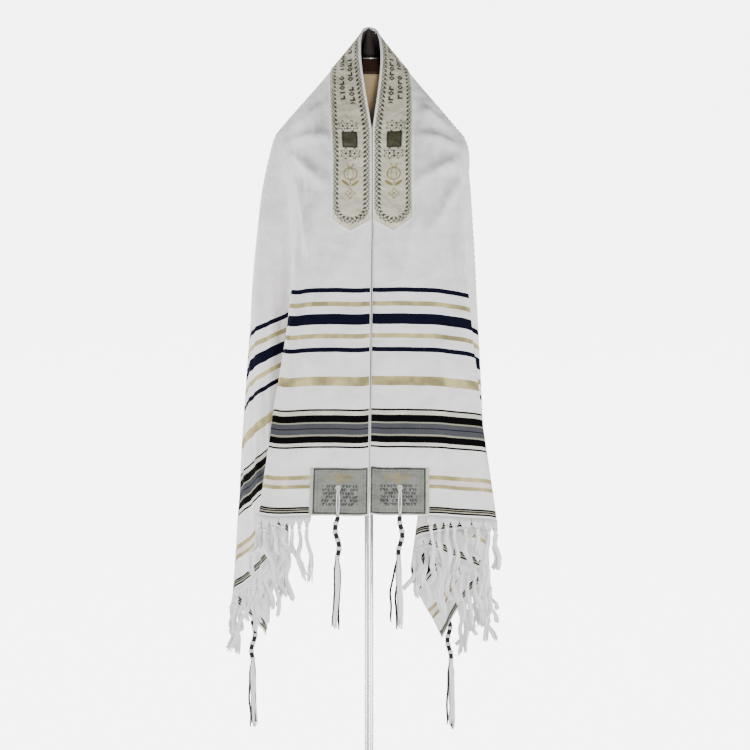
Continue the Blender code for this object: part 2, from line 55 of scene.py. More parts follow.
TIP_LEFT = (0.172, 0.0, 1.300)     # outward, depth, height
TIP_RIGHT = (0.1757, 0.0, 1.2965)
CHEST_AT = 0.30                # the share of a column at which the table's chest values hold
BULGE_RATE = 0.35              # how soon a column swings out below its top
NECK_OPENING = 0.017           # half width of the slit in front of the neck
NECK_SLIT_END = 0.24           # share of the front edge at which the two edges meet
EDGE_GAP = 0.0016              # half the gap between the two front edges
EDGE_SWAY = 0.006              # both edges bow towards the wearer's left
CALM_UNTIL = 0.16              # flutes die out over this share of a column, up to the tip
LEAST_FALL = 0.12              # squared, where a column leans hard

Fold = namedtuple("Fold", "name run out_chest depth_chest out_hem depth_hem calm")
# run: along the hem from the front corner.  out: from the middle plane.  depth: +back, -front.
LEFT_FOLDS = [Fold(*row) for row in (
    ("front edge",     0.000, 0.000, -0.090, 0.000, -0.108, True),
    ("front inner",    0.064, 0.062, -0.102, 0.066, -0.114, True),
    ("front outer",    0.128, 0.106, -0.102, 0.130, -0.113, True),
    ("front fold",     0.192, 0.126, -0.086, 0.196, -0.104, True),
    ("pleat back",     0.290, 0.140, -0.058, 0.152, -0.060, False),
    ("pleat valley",   0.366, 0.148, -0.034, 0.150, 0.004, False),
    ("side front",     0.459, 0.178, -0.030, 0.182, -0.018, False),
    ("side middle",    0.544, 0.206, -0.014, 0.208, 0.008, True),
    ("side fold",      0.646, 0.208, 0.018, 0.254, 0.088, True),
    ("back corner",    0.800, 0.184, 0.044, 0.196, 0.172, True),
    ("back turn",      0.930, 0.176, 0.050, 0.186, 0.186, False),
    ("first valley",   1.062, 0.158, 0.052, 0.158, 0.162, False),
    ("second fold",    1.190, 0.182, 0.072, 0.204, 0.200, False),
    ("second valley",  1.320, 0.146, 0.084, 0.134, 0.180, False),
    ("back fold",      1.432, 0.166, 0.108, 0.188, 0.220, True),
    ("back outer",     1.503, 0.128, 0.110, 0.140, 0.214, True),
    ("back inner",     1.602, 0.068, 0.110, 0.077, 0.188, True),
    ("back middle",    1.715, 0.000, 0.105, 0.000, 0.162, True),
)]
RIGHT_FOLDS = [Fold(*row) for row in (
    ("front edge",     0.000, 0.000, -0.090, 0.000, -0.108, True),
    ("front inner",    0.068, 0.064, -0.102, 0.070, -0.114, True),
    ("front outer",    0.140, 0.122, -0.104, 0.144, -0.113, True),
    ("front fold",     0.219, 0.166, -0.090, 0.224, -0.104, True),
    ("pleat back",     0.262, 0.160, -0.068, 0.142, -0.088, False),
    ("pleat valley",   0.355, 0.152, -0.032, 0.084, -0.050, False),
    ("side front",     0.422, 0.166, -0.028, 0.130, -0.006, False),
    ("side fold",      0.565, 0.194, -0.006, 0.222, 0.055, True),
    ("side back",      0.623, 0.192, 0.014, 0.196, 0.113, True),
    ("back corner",    0.800, 0.182, 0.044, 0.137, 0.157, True),
    ("first valley",   1.002, 0.156, 0.055, 0.080, 0.122, False),
    ("second fold",    1.164, 0.180, 0.072, 0.168, 0.176, False),
    ("second valley",  1.308, 0.144, 0.082, 0.118, 0.164, False),
    ("back fold",      1.432, 0.168, 0.106, 0.188, 0.207, True),
    ("back outer",     1.503, 0.130, 0.110, 0.144, 0.208, True),
    ("back inner",     1.602, 0.068, 0.110, 0.077, 0.188, True),
    ("back middle",    1.715, 0.000, 0.105, 0.000, 0.162, True),
)]


def bulge(t):
    """Zero at the top and the hem, one near CHEST_AT: t / k * exp(1 - t / k), less its value at
    the end."""
    rise = t / BULGE_RATE * np.exp(1 - t / BULGE_RATE)
    end = 1 / BULGE_RATE * math.exp(1 - 1 / BULGE_RATE)
    at = CHEST_AT / BULGE_RATE * math.exp(1 - CHEST_AT / BULGE_RATE) - CHEST_AT * end
    return (rise - t * end) / at


def smooth(value):
    """Eases from 0 to 1: 3 v^2 - 2 v^3."""
    value = np.clip(value, 0, 1)
    return value * value * (3 - 2 * value)


def spline(at, knots, values, slack=0.85):
    """Cardinal spline: each knot's slope is slack times the slope between its neighbours."""
    knots = np.asarray(knots)
    values = np.asarray(values)
    slopes = slack * np.gradient(values, knots)
    i = np.clip(np.searchsorted(knots, at, side="right") - 1, 0, len(knots) - 2)
    step = knots[i + 1] - knots[i]
    s = (at - knots[i]) / step
    return ((1 + 2 * s) * (1 - s) ** 2 * values[i] + s * (1 - s) ** 2 * step * slopes[i]
            + s * s * (3 - 2 * s) * values[i + 1] + s * s * (s - 1) * step * slopes[i + 1])


class HalfDrape:
    """One half of the shawl.  sign is -1 on the viewer's left and +1 on the right."""

    def __init__(self, sign, tip, folds):
        self.sign = sign
        self.tip = tip
        self.folds = folds
        runs = {fold.name: fold.run for fold in folds}
        self.front_run = runs["front fold"]
        self.back_run = runs["back fold"]
        self.total = runs["back middle"]
        self.back_along = self.total - self.back_run

    def hem_point(self, run):
        """Flat place of the hem at a run: down the fringed end, then back along the far edge."""
        along = np.where(run <= WIDTH, HALF, HALF - (run - WIDTH))
        return along, np.minimum(run, WIDTH)

    def top_share(self, run):
        """How far along the shoulder line, from peak to tip, the column starts."""
        share = np.where(run < self.front_run, run / self.front_run, 1.0)
        return np.where(run > self.back_run, (self.total - run) / self.back_along, share)

    def flat(self, run, t):
        """Place in the flat cloth of a point at share t of the column that ends at a run."""
        share = self.top_share(run)
        along, down = self.hem_point(run)
        return (TIP_ALONG * share * (1 - t) + along * t, TIP_DOWN * share * (1 - t) + down * t)

    def columns(self, along, down):
        """The run and the share t of a flat point: the inverse of flat()."""
        angle = np.arctan2(down - TIP_DOWN, along - TIP_ALONG)
        front_angle = math.atan2(self.front_run - TIP_DOWN, HALF - TIP_ALONG)
        back_angle = math.atan2(WIDTH - TIP_DOWN, self.back_along - TIP_ALONG)
        fan = (angle >= front_angle) & (angle <= back_angle)
        corner = math.atan2(WIDTH - TIP_DOWN, HALF - TIP_ALONG)
        safe = np.clip(angle, 0.02 + min(front_angle, 0), back_angle)
        side_run = TIP_DOWN + (HALF - TIP_ALONG) * np.tan(np.clip(angle, front_angle, corner))
        far_along = TIP_ALONG + (WIDTH - TIP_DOWN) / np.tan(np.clip(safe, corner, back_angle))
        fan_run = np.where(angle <= corner, side_run, WIDTH + HALF - far_along)
        fan_t = np.where(angle <= corner, (along - TIP_ALONG) / (HALF - TIP_ALONG),
                (down - TIP_DOWN) / (WIDTH - TIP_DOWN))
        front = ~fan & (down * TIP_ALONG <= along * TIP_DOWN)
        q_front = self.share_of(along, down, HALF, TIP_ALONG, TIP_DOWN, self.front_run)
        q_back = self.share_of(down, along, WIDTH, TIP_DOWN, TIP_ALONG, self.back_along)
        t_front = (along - TIP_ALONG * q_front) / (HALF - TIP_ALONG * q_front)
        t_back = (down - TIP_DOWN * q_back) / (WIDTH - TIP_DOWN * q_back)
        run = np.where(fan, fan_run, np.where(front, q_front * self.front_run,
                self.total - q_back * self.back_along))
        return run, np.where(fan, fan_t, np.where(front, t_front, t_back))

    @staticmethod
    def share_of(far, near, edge, tip_far, tip_near, end_near):
        """Root of the quadratic that says which shoulder-line share a point's column starts at."""
        a = tip_far * end_near
        b = tip_near * edge + far * (end_near - tip_near) + near * tip_far
        root = np.sqrt(np.maximum(b * b - 4 * a * near * edge, 0))
        return np.clip((b - root) / (2 * a), 0, 1)

    def key(self, run, field, only_calm):
        """A field's spline over the runs, through the calm folds alone or through them all."""
        rows = [fold for fold in self.folds if fold.calm or not only_calm]
        return spline(run, [fold.run for fold in rows], [getattr(fold, field) for fold in rows])

    def place(self, along, down, samples=14):
        """Flat point to room: (x, y, z).  The height is integrated so that lengths are kept."""
        along = np.asarray(along, float)
        down = np.asarray(down, float)
        run, t = self.columns(along, down)
        share = self.top_share(run)
        hem_along, hem_down = self.hem_point(run)
        length = np.hypot(hem_along - TIP_ALONG * share, hem_down - TIP_DOWN * share)
        top = [share * self.tip[0], PEAK[1] + share * (self.tip[1] - PEAK[1]),
               PEAK[2] + share * (self.tip[2] - PEAK[2])]
        values = {}
        for calm in (True, False):
            for field in ("out_chest", "depth_chest", "out_hem", "depth_hem"):
                values[field, calm] = self.key(run, field, calm)

        def aside(s):
            """Outward place and depth at share s of the same columns."""
            wave = smooth(s / CALM_UNTIL)
            result = []
            for axis, start in (("out", top[0]), ("depth", top[1])):
                sides = []
                for calm in (True, False):
                    hem = values[axis + "_hem", calm]
                    chest = values[axis + "_chest", calm]
                    straight = start + (hem - start) * s
                    swing = chest - (start + (hem - start) * CHEST_AT)
                    sides.append(straight + swing * bulge(s))
                result.append(sides[0] + (sides[1] - sides[0]) * wave)
            slit = np.sin(math.pi * np.clip(s / NECK_SLIT_END, 0, 1) ** 0.6)
            fade = (1 - np.minimum(share, 1)) ** 3 * (run < self.front_run)
            sway = self.sign * EDGE_SWAY * bulge(s) * (1 - share) * (run < self.front_run)
            gap = EDGE_GAP * smooth(s / 0.03) * (1 - share) * (run < self.front_run)
            result[0] = result[0] + NECK_OPENING * slit * fade + sway + gap
            return result

        nodes, weights = np.polynomial.legendre.leggauss(samples)
        drop = np.zeros_like(t)
        step = 0.002
        for node, weight in zip(nodes, weights):
            s = np.maximum(t * (node + 1) / 2, step)
            ahead = aside(s + step)
            behind = aside(s - step)
            sideways = (ahead[0] - behind[0]) ** 2 + (ahead[1] - behind[1]) ** 2
            slope = sideways / (2 * step * length) ** 2
            drop += weight * np.sqrt(np.maximum(1 - slope, LEAST_FALL))
        out, depth = aside(t)
        height = top[2] - drop * t * length / 2
        return np.stack([self.sign * out, depth, height], axis=-1)


LEFT = HalfDrape(-1, TIP_LEFT, LEFT_FOLDS)
RIGHT = HalfDrape(1, TIP_RIGHT, RIGHT_FOLDS)
SIDES = ((LEFT, "left"), (RIGHT, "right"))

# Creases, each a soft ridge along a line in the flat cloth, in metres.  Weight pulls the long
# ones out of the shoulder tips, front and back.  The last ones gather round the tassels' holes.
Crease = namedtuple("Crease", "sign along_from down_from along_to down_to width height")
CREASES = [Crease(*row) for row in (
    (1, 0.200, 0.170, 0.165, 0.078, 0.011, 0.0060),
    (1, 0.225, 0.195, 0.235, 0.060, 0.012, 0.0080),
    (1, 0.250, 0.205, 0.330, 0.060, 0.013, 0.0095),
    (1, 0.275, 0.210, 0.420, 0.095, 0.015, 0.0085),
    (1, 0.330, 0.210, 0.640, 0.160, 0.018, 0.0050),
    (-1, 0.200, 0.170, 0.160, 0.078, 0.011, 0.0070),
    (-1, 0.222, 0.190, 0.235, 0.060, 0.012, 0.0090),
    (-1, 0.248, 0.198, 0.335, 0.070, 0.013, 0.0110),
    (-1, 0.280, 0.205, 0.470, 0.110, 0.016, 0.0090),
    (-1, 0.330, 0.200, 0.680, 0.155, 0.018, 0.0045),
    (-1, 0.370, 0.006, 0.500, 0.060, 0.016, 0.0050),
    (1, 0.350, 0.080, 0.540, 0.040, 0.017, 0.0095),
    (-1, 0.560, 0.090, 0.790, 0.055, 0.018, 0.0055),
    (1, 0.560, 0.150, 0.800, 0.110, 0.020, 0.0045),
    (-1, 0.200, 0.245, 0.150, 0.450, 0.014, 0.0085),
    (-1, 0.215, 0.250, 0.260, 0.560, 0.016, 0.0095),
    (-1, 0.235, 0.240, 0.420, 0.500, 0.018, 0.0085),
    (1, 0.205, 0.245, 0.165, 0.480, 0.014, 0.0080),
    (1, 0.220, 0.250, 0.280, 0.530, 0.017, 0.0095),
    (1, 0.240, 0.240, 0.400, 0.460, 0.016, 0.0080),
    (-1, 0.050, 0.300, 0.020, 0.660, 0.018, 0.0065),
    (1, 0.060, 0.320, 0.030, 0.630, 0.020, 0.0060),
    (-1, 0.130, 0.420, 0.090, 0.790, 0.017, 0.0085),
    (1, 0.145, 0.450, 0.115, 0.780, 0.019, 0.0080),
    (-1, 0.240, 0.520, 0.215, 0.790, 0.016, 0.0070),
    (1, 0.225, 0.500, 0.240, 0.770, 0.015, 0.0065),
    (-1, 0.015, 0.150, 0.100, 0.300, 0.013, 0.0050),
    (1, 0.020, 0.160, 0.090, 0.330, 0.014, 0.0045),
    (-1, 0.862, 0.050, 0.913, 0.020, 0.006, 0.0022),
    (-1, 0.862, 0.056, 0.913, 0.088, 0.007, 0.0026),
    (1, 0.862, 0.050, 0.913, 0.022, 0.006, 0.0024),
    (1, 0.862, 0.056, 0.913, 0.084, 0.006, 0.0020),
    (-1, 0.862, 0.746, 0.913, 0.716, 0.006, 0.0022),
    (1, 0.862, 0.746, 0.913, 0.718, 0.007, 0.0024),
)]


def relief(half, along, down):
    """Height of the small creases and waves over the drape, in metres, at flat points."""
    run, t = half.columns(along, down)
    broad = 0.0011 * np.sin(run * 96 + 2.2 * np.sin(t * 5 + half.sign))
    fine = 0.0008 * np.sin(run * 171 + 3 * np.sin(t * 8))
    height = smooth(t / 0.4) * (broad + fine)
    for crease in CREASES:
        if crease.sign == half.sign:
            step = np.array([crease.along_to - crease.along_from,
                    crease.down_to - crease.down_from])
            reach = np.linalg.norm(step)
            a = along - crease.along_from
            d = down - crease.down_from
            share = (a * step[0] + d * step[1]) / reach ** 2
            off = (a * step[1] - d * step[0]) / reach
            ends = smooth(share / 0.3) * smooth((1 - share) / 0.4)
            height = height + crease.height * ends * np.exp(-np.abs(off / crease.width) ** 1.5)
    return height


def on_cloth(half, along, down, lift=0.0):
    """Places at flat points (along without sign), moved out by the relief and by lift, and the
    outward directions: the cross product of the drape's central differences."""
    step = 0.003
    along = np.asarray(along, float)
    down = np.asarray(down, float)
    a0 = np.clip(along - step, 0, HALF)
    a1 = np.clip(along + step, 0, HALF)
    d0 = np.clip(down - step, 0, WIDTH)
    d1 = np.clip(down + step, 0, WIDTH)
    by_along = half.place(a1, down) - half.place(a0, down)
    by_down = half.place(along, d1) - half.place(along, d0)
    out = np.cross(by_along, by_down) * half.sign
    out /= np.maximum(np.linalg.norm(out, axis=-1, keepdims=True), 1e-12)
    rise = relief(half, along, down) + lift
    return half.place(along, down) + out * rise[..., None], out


def grid_quads(rows, columns, closed=False):
    """Corner numbers of a rows x columns grid of points, wrapped round its rows if closed."""
    wide = columns if closed else columns - 1
    r, c = np.meshgrid(np.arange(rows - 1), np.arange(wide), indexing="ij")
    after = (c + 1) % columns
    return np.stack([r * columns + c, r * columns + after, (r + 1) * columns + after,
            (r + 1) * columns + c], axis=-1).reshape(-1, 4)


def new_piece(name, points, faces, material, uv=None, ink=None):
    """A shown mesh from whole arrays.  uv and ink hold one row for each point."""
    mesh = bpy.data.meshes.new(name)
    mesh.from_pydata(np.asarray(points).reshape(-1, 3), [], faces)
    if uv is not None:
        corners = np.empty(len(mesh.loops), dtype=np.int32)
        mesh.loops.foreach_get("vertex_index", corners)
        layer = mesh.uv_layers.new(name="flat")
        places = np.asarray(uv).reshape(-1, 2)[corners]
        layer.data.foreach_set("uv", places.ravel().astype(np.float32))
    if ink is not None:
        layer = mesh.color_attributes.new("ink", "FLOAT_COLOR", "POINT")
        rgba = np.ones((len(mesh.vertices), 4), dtype=np.float32)
        rgba[:, :3] = np.asarray(ink).reshape(-1, 3)
        layer.data.foreach_set("color", rgba.ravel())
    mesh.materials.append(material)
    mesh.shade_smooth()
    item = bpy.data.objects.new(name, mesh)
    bpy.context.scene.collection.objects.link(item)
    return item


def linear(code):
    """An sRGB hex colour as linear red, green and blue."""
    values = np.array([int(code[k:k + 2], 16) / 255 for k in (1, 3, 5)])
    return np.where(values <= 0.04045, values / 12.92, ((values + 0.055) / 1.055) ** 2.4)


def add_node(tree, kind, inputs=(), **settings):
    """A shader node with its settings and its inputs: each a value, a socket, or another node,
    which gives its first output."""
    item = tree.nodes.new("ShaderNode" + kind)
    for key, value in settings.items():
        setattr(item, key, value)
    for key, value in dict(inputs).items():
        value = value.outputs[0] if isinstance(value, bpy.types.Node) else value
        if isinstance(value, bpy.types.NodeSocket):
            tree.links.new(value, item.inputs[key])
        else:
            item.inputs[key].default_value = value
    return item


def new_material(name, roughness, sheen=0.0, metallic=0.0, shine=0.12):
    """A principled material: returns it with its node tree and its shader."""
    material = bpy.data.materials.new(name)
    material.use_nodes = True
    shader = material.node_tree.nodes["Principled BSDF"]
    shader.inputs["Roughness"].default_value = roughness
    shader.inputs["Sheen Weight"].default_value = sheen
    shader.inputs["Specular IOR Level"].default_value = shine
    shader.inputs["Metallic"].default_value = metallic
    return material, material.node_tree, shader


def wear(tree, shader, colour, bump=None):
    """Gives a shader the colour of one node and the bump of another."""
    tree.links.new(colour.outputs[0], shader.inputs["Base Color"])
    if bump:
        tree.links.new(bump.outputs[0], shader.inputs["Normal"])


def stripe_ramp(tree, position, start, end, stops):
    """A hard-edged colour ramp over start to end, from rows of (millimetres, sRGB hex)."""
    scaled = add_node(tree, "MapRange", {0: position, 1: start, 2: end, 3: 0.0, 4: 1.0})
    ramp = add_node(tree, "ValToRGB", {0: scaled})
    ramp.color_ramp.interpolation = "CONSTANT"
    elements = ramp.color_ramp.elements
    elements.remove(elements[1])
    for number, (millimetres, code) in enumerate(stops):
        place = max((millimetres / 1000 - start) / (end - start), 0)
        element = elements[0] if number == 0 else elements.new(place)
        element.position = place
        element.color = (*linear(code), 1)
    return ramp


WHITE = "#f0edec"
NAVY = "#0a0b1c"
GOLD = "#c3b684"
UPPER_STRIPES = [(0, WHITE), (507, NAVY), (516, WHITE), (533, GOLD), (540, WHITE), (554, NAVY),
        (573, WHITE), (589, GOLD), (597, WHITE), (613, NAVY), (623, WHITE), (666, GOLD),
        (683, WHITE)]
SPLIT = 0.7                    # a ramp holds few stops, so the stripes take two, joined here
LOWER_STRIPES = [(700, WHITE), (724.6, "#030303"), (728.4, "#d3cfc0"), (736, "#050405"),
        (748, "#90907f"), (751, "#46474c"), (759.2, "#08091a"), (761.2, "#46474c"),
        (770.5, "#90907f"), (773.5, "#050405"), (785, "#dddbd2"), (790.8, "#030303"),
        (794.6, WHITE), (843.4, GOLD), (850.4, "#e4d9d6"), (859.6, GOLD), (867, WHITE),
        (899.5, "#0e0d09"), (902.5, "#b9b7a6"), (904, "#0e0d09"), (906.5, "#b9b7a6"),
        (908, "#0e0d09"), (911, WHITE)]


def woven_material():
    """White wool, matt and slightly ribbed, with stripes woven across its length.  A wave's bands
    are 0.314 m over its scale apart, so ribs are drawn at 6 mm and picks at 2 mm, coarser than
    the yarn's 0.6 mm, so that they show.  The gilt stripes are darkened in patches of about 40 mm:
    painted glint, for the metal yarn's uneven shine.  The cloth is slack by a hair over about 80
    mm."""
    material, tree, shader = new_material("striped_wool_weave", 0.9, shine=0.05)
    flat = add_node(tree, "UVMap", uv_map="flat")
    parts = add_node(tree, "SeparateXYZ", {0: flat})
    along = add_node(tree, "Math", {0: parts}, operation="ABSOLUTE")
    upper = stripe_ramp(tree, along, 0.0, SPLIT, UPPER_STRIPES)
    lower = stripe_ramp(tree, along, SPLIT, HALF, LOWER_STRIPES)
    past = add_node(tree, "Math", {0: along, 1: SPLIT}, operation="GREATER_THAN")
    cloth = add_node(tree, "Mix", {0: past, 6: upper, 7: lower}, data_type="RGBA")
    ribs = add_node(tree, "TexWave", {"Vector": flat, "Scale": 52.0, "Distortion": 0.6,
            "Detail": 1.0}, bands_direction="Y")
    picks = add_node(tree, "TexWave", {"Vector": flat, "Scale": 150.0, "Distortion": 1.5,
            "Detail": 1.0}, bands_direction="X")
    slub = add_node(tree, "TexNoise", {"Vector": flat, "Scale": 220.0, "Detail": 3.0})
    woven = add_node(tree, "Math", {0: ribs.outputs[1], 1: picks.outputs[1]}, operation="ADD")
    rough = add_node(tree, "Math", {0: woven, 1: slub}, operation="ADD")
    tone = add_node(tree, "MapRange", {0: rough, 1: 0.4, 2: 2.4, 3: 0.935, 4: 1.0})
    # painted glint: gilt stripes darkened in noise patches, for the metal yarn's uneven shine
    parted = add_node(tree, "SeparateColor", {0: cloth.outputs[2]})
    gilt = add_node(tree, "Math", {0: parted, 1: parted.outputs[2]}, operation="SUBTRACT")
    lustre = add_node(tree, "TexNoise", {"Vector": flat, "Scale": 26.0, "Detail": 4.0})
    glint_dimming = add_node(tree, "MapRange", {0: lustre, 1: 0.36, 2: 0.62, 3: 0.1, 4: 1.7})
    loss = add_node(tree, "Math", {0: gilt, 1: glint_dimming}, operation="MULTIPLY", use_clamp=True)
    kept = add_node(tree, "Math", {0: 1.0, 1: loss}, operation="SUBTRACT")
    shine = add_node(tree, "Math", {0: tone, 1: kept}, operation="MULTIPLY")
    shaded = add_node(tree, "VectorMath", {0: cloth.outputs[2], 1: shine}, operation="MULTIPLY")
    slack = add_node(tree, "TexNoise", {"Vector": flat, "Scale": 13.0, "Detail": 2.5})
    soft = add_node(tree, "Bump", {"Height": slack, "Strength": 1.0, "Distance": 0.016})
    bump = add_node(tree, "Bump", {"Height": rough, "Strength": 0.25, "Distance": 0.0008,
            "Normal": soft})
    wear(tree, shader, shaded, bump)
    return material


CELL = 0.0055
SHELL = 0.0014                 # thickness of the shown cloth


def shawl_cloth():
    """Two grids of flat points, one for each half, carried to the drape and joined down the
    middle of the back, then thickened both ways."""
    across = np.linspace(0, HALF, round(HALF / CELL) + 1)
    downs = np.linspace(0, WIDTH, round(WIDTH / CELL) + 1)
    along, down = np.meshgrid(across, downs, indexing="ij")
    quads = grid_quads(len(across), len(downs))
    left = on_cloth(LEFT, along, down)[0].reshape(-1, 3)
    right = on_cloth(RIGHT, along, down)[0].reshape(-1, 3)
    shared = len(downs)
    other = np.where(quads < shared, quads, quads + len(left) - shared)
    flat = np.stack([along.ravel(), down.ravel()], axis=-1)
    cloth = new_piece("shawl_drape", np.concatenate([left, right[shared:]]),
            np.concatenate([quads, other[:, ::-1]]), woven_material(),
            uv=np.concatenate([flat * (-1, 1), flat[shared:]]))
    shell = cloth.modifiers.new("thickness", "SOLIDIFY")
    shell.thickness = SHELL
    shell.offset = 0.0
    return cloth


drape = shawl_cloth()
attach(drape, "root")
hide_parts("shawl_cloth")

# ---- The neckband and the four corner squares: silver-ivory brocade laid on the cloth and sewn
# round its edge.  Each is a fine grid of the cloth's own flat points moved out by its lift, with
# its embroidery worked out point by point as a colour.
INK_DARK = linear("#121711")
INK_GREEN = linear("#30382f")
INK_GOLD = linear("#7f7140")
BROCADE = linear("#bdbaa5")
LAID_LIFT = 0.0021             # the brocade's face over the cloth's middle
RIM_DROP = 0.0011
RIM_WIDE = 0.0012


def brocade_material():
    """Silky brocade, brighter than the wool, painted by its point colours.  Its diaper is drawn
    3 mm, coarser than the woven 1 mm, so that it shows, and it puckers over about 30 mm."""
    material, tree, shader = new_material("silver_brocade_weave", 0.5, shine=0.35)
    ink = add_node(tree, "VertexColor", layer_name="ink")
    flat = add_node(tree, "UVMap", uv_map="flat")
    diaper = add_node(tree, "TexVoronoi", {"Vector": flat, "Scale": 330.0, "Randomness": 0.35},
            distance="MANHATTAN")
    thread = add_node(tree, "TexNoise", {"Vector": flat, "Scale": 900.0, "Detail": 2.0})
    rough = add_node(tree, "Math", {0: diaper, 1: thread}, operation="ADD")
    tone = add_node(tree, "MapRange", {0: rough, 1: 0.2, 2: 1.4, 3: 0.82, 4: 1.08})
    shaded = add_node(tree, "VectorMath", {0: ink, 1: tone}, operation="MULTIPLY")
    pucker = add_node(tree, "TexNoise", {"Vector": flat, "Scale": 34.0, "Detail": 2.0})
    soft = add_node(tree, "Bump", {"Height": pucker, "Strength": 1.0, "Distance": 0.008})
    bump = add_node(tree, "Bump", {"Height": rough, "Strength": 0.35, "Distance": 0.0006,
            "Normal": soft})
    wear(tree, shader, shaded, bump)
    return material


BROCADE_WEAVE = brocade_material()


def laid_lift(rim):
    """The brocade's lift at a distance from its edge: the rim is turned down to the cloth."""
    return LAID_LIFT - RIM_DROP * (1 - smooth(rim / RIM_WIDE))


def edge_mask(distance, soft=0.35):
    """One inside a shape, zero outside, over a soft edge; the distance is in millimetres."""
    return np.clip(0.5 - distance / (2 * soft), 0, 1)


def stitch(ink, mask, colour):
    """Lays a colour over the ink where the mask is one."""
    return ink + (colour - ink) * mask[..., None]


def triangle_wave(value):
    """A zigzag between -1 and 1 of period 1."""
    return 4 * np.abs(value - np.floor(value + 0.5)) - 1


LEAF_LONG = 3.8                # half lengths, in mm
LEAF_WIDE = 1.7


def vine(ink, run, away, step, swing, thick):
    """A zigzag stem along run with a leaf at each turn; away is measured across it, in mm."""
    turn = run / step
    stem = np.abs(away - swing * triangle_wave(turn)) - thick
    leaf_at = (turn - np.floor(turn) - 0.5) * step
    leaf_away = away - swing * 1.1
    along_leaf = (leaf_at * 0.8 + leaf_away * 0.6) / LEAF_LONG
    leaf = np.hypot(along_leaf, (leaf_away * 0.8 - leaf_at * 0.6) / LEAF_WIDE) - 1
    bud = np.hypot((leaf_at + step / 2) % step - step / 2, away + swing * 1.3) - 1.5
    ink = stitch(ink, edge_mask(stem, 0.5), INK_DARK)
    ink = stitch(ink, edge_mask(leaf, 0.3), INK_DARK)
    return stitch(ink, edge_mask(bud, 0.5), INK_GREEN)


def rosette(ink, x, y, radius, petals, colour, thick=0.7):
    """A ring of outlined petals round a small disc."""
    angle = np.arctan2(y, x)
    distance = np.hypot(x, y)
    edge = radius * (0.76 + 0.24 * np.cos(petals * angle))
    ink = stitch(ink, edge_mask(np.abs(distance - edge) - thick), colour)
    return stitch(ink, edge_mask(distance - radius * 0.22), colour)


def pomegranate(ink, x, y, size, line=0.9):
    """The old fruit motif in gold thread: a round fruit outlined, with seeds, crown and leaves."""
    fruit = np.hypot(x, y) - size
    arc = size * 0.42 * np.sqrt(np.clip(1 - (y / size) ** 2, 0, 1))
    seam = np.maximum(np.abs(np.abs(x) - arc) - line * 0.6, fruit)
    crown = np.maximum(np.abs(np.abs(x) - np.clip(y - size, 0, size) * 0.6 - size * 0.1) - line,
            np.maximum(size * 0.8 - y, y - size * 1.7))
    stem = np.maximum(np.abs(x) - line * 0.8, np.maximum(y + size * 0.9, -size * 1.8 - y))
    outline = np.minimum(np.abs(fruit) - line, np.minimum(seam, crown))
    ink = stitch(ink, edge_mask(outline), INK_GOLD)
    ink = stitch(ink, edge_mask(stem), INK_GOLD)
    for side in (-1, 1):
        leaf_x = x * side - size * 0.75
        leaf_y = y + size * 1.55
        along_leaf = leaf_x * 0.8 + leaf_y * 0.6
        over_leaf = -leaf_x * 0.6 + leaf_y * 0.8
        leaf = np.hypot(along_leaf / (size * 0.8), over_leaf / (size * 0.24)) - 1
        ink = stitch(ink, edge_mask(leaf * size * 0.3), INK_GOLD)
    return ink


def dashes(ink, first, second, rows, spans, size, colour):
    """Rows of stitched lozenges, bars and hooks, where woven words would be.  Rows follow second
    and are stacked along first; rows and spans hold each stack's start, stop and pitch in mm."""
    start, stop, pitch = rows
    low, high = spans
    row = np.floor((first - start) / pitch)
    in_row = (first - start - (row + 0.5) * pitch) / size
    beat = 3.3 * size
    shift = second - low + beat * 0.37 * (row % 3)
    cell = np.floor(shift / beat)
    in_cell = (shift - (cell + 0.5) * beat) / size
    lozenge = np.abs(np.abs(in_cell) * 1.1 + np.abs(in_row) * 0.9 - 1.3) - 0.6
    bar = np.maximum(np.abs(in_cell) - 0.6, np.abs(in_row) - 1.65)
    hook = np.minimum(np.maximum(np.abs(in_row + 1.0) - 0.58, np.abs(in_cell) - 1.4),
            np.maximum(np.abs(in_cell - 0.8) - 0.58, np.abs(in_row) - 1.6))
    kind = (cell * 2 + row) % 5
    shape = np.where(kind < 2, lozenge, np.where(kind < 3, bar, hook))
    gap = (cell + 2 * row) % 6 == 5
    area = np.maximum(np.maximum(start - first, first - stop),
            np.maximum(low - second, second - high))
    return stitch(ink, edge_mask(shape, 0.3) * edge_mask(area) * ~gap, colour)


BAND_WIDTH = 0.074
BAND_HALF = 0.385              # its length each side of the neck, up to the point
BAND_POINT = 0.022
EDGE_INSET = 0.0007
# Where its embroidery lies, in mm from the middle of the neck and from the neck edge.
VINE_TURN = 360.0              # here the vine leaves the edges for its half circle
VINE_BEND = 28                 # the half circle's radius
VINE_INSET = 9.4
PLAIN_EDGE = 3.4
DIAPER = 5                     # one cell of the ground's faint figure
WORD_ROWS = (17.5, 53.5, 18)   # start, stop and pitch
WORD_SPAN = (14, 172)
PANEL_AT = 240
PANEL_ROSETTES = ((214, -5), (214, 11), (266, -7), (266, 8))
FRUIT_AT = 303
END_ROSETTE_AT = 339


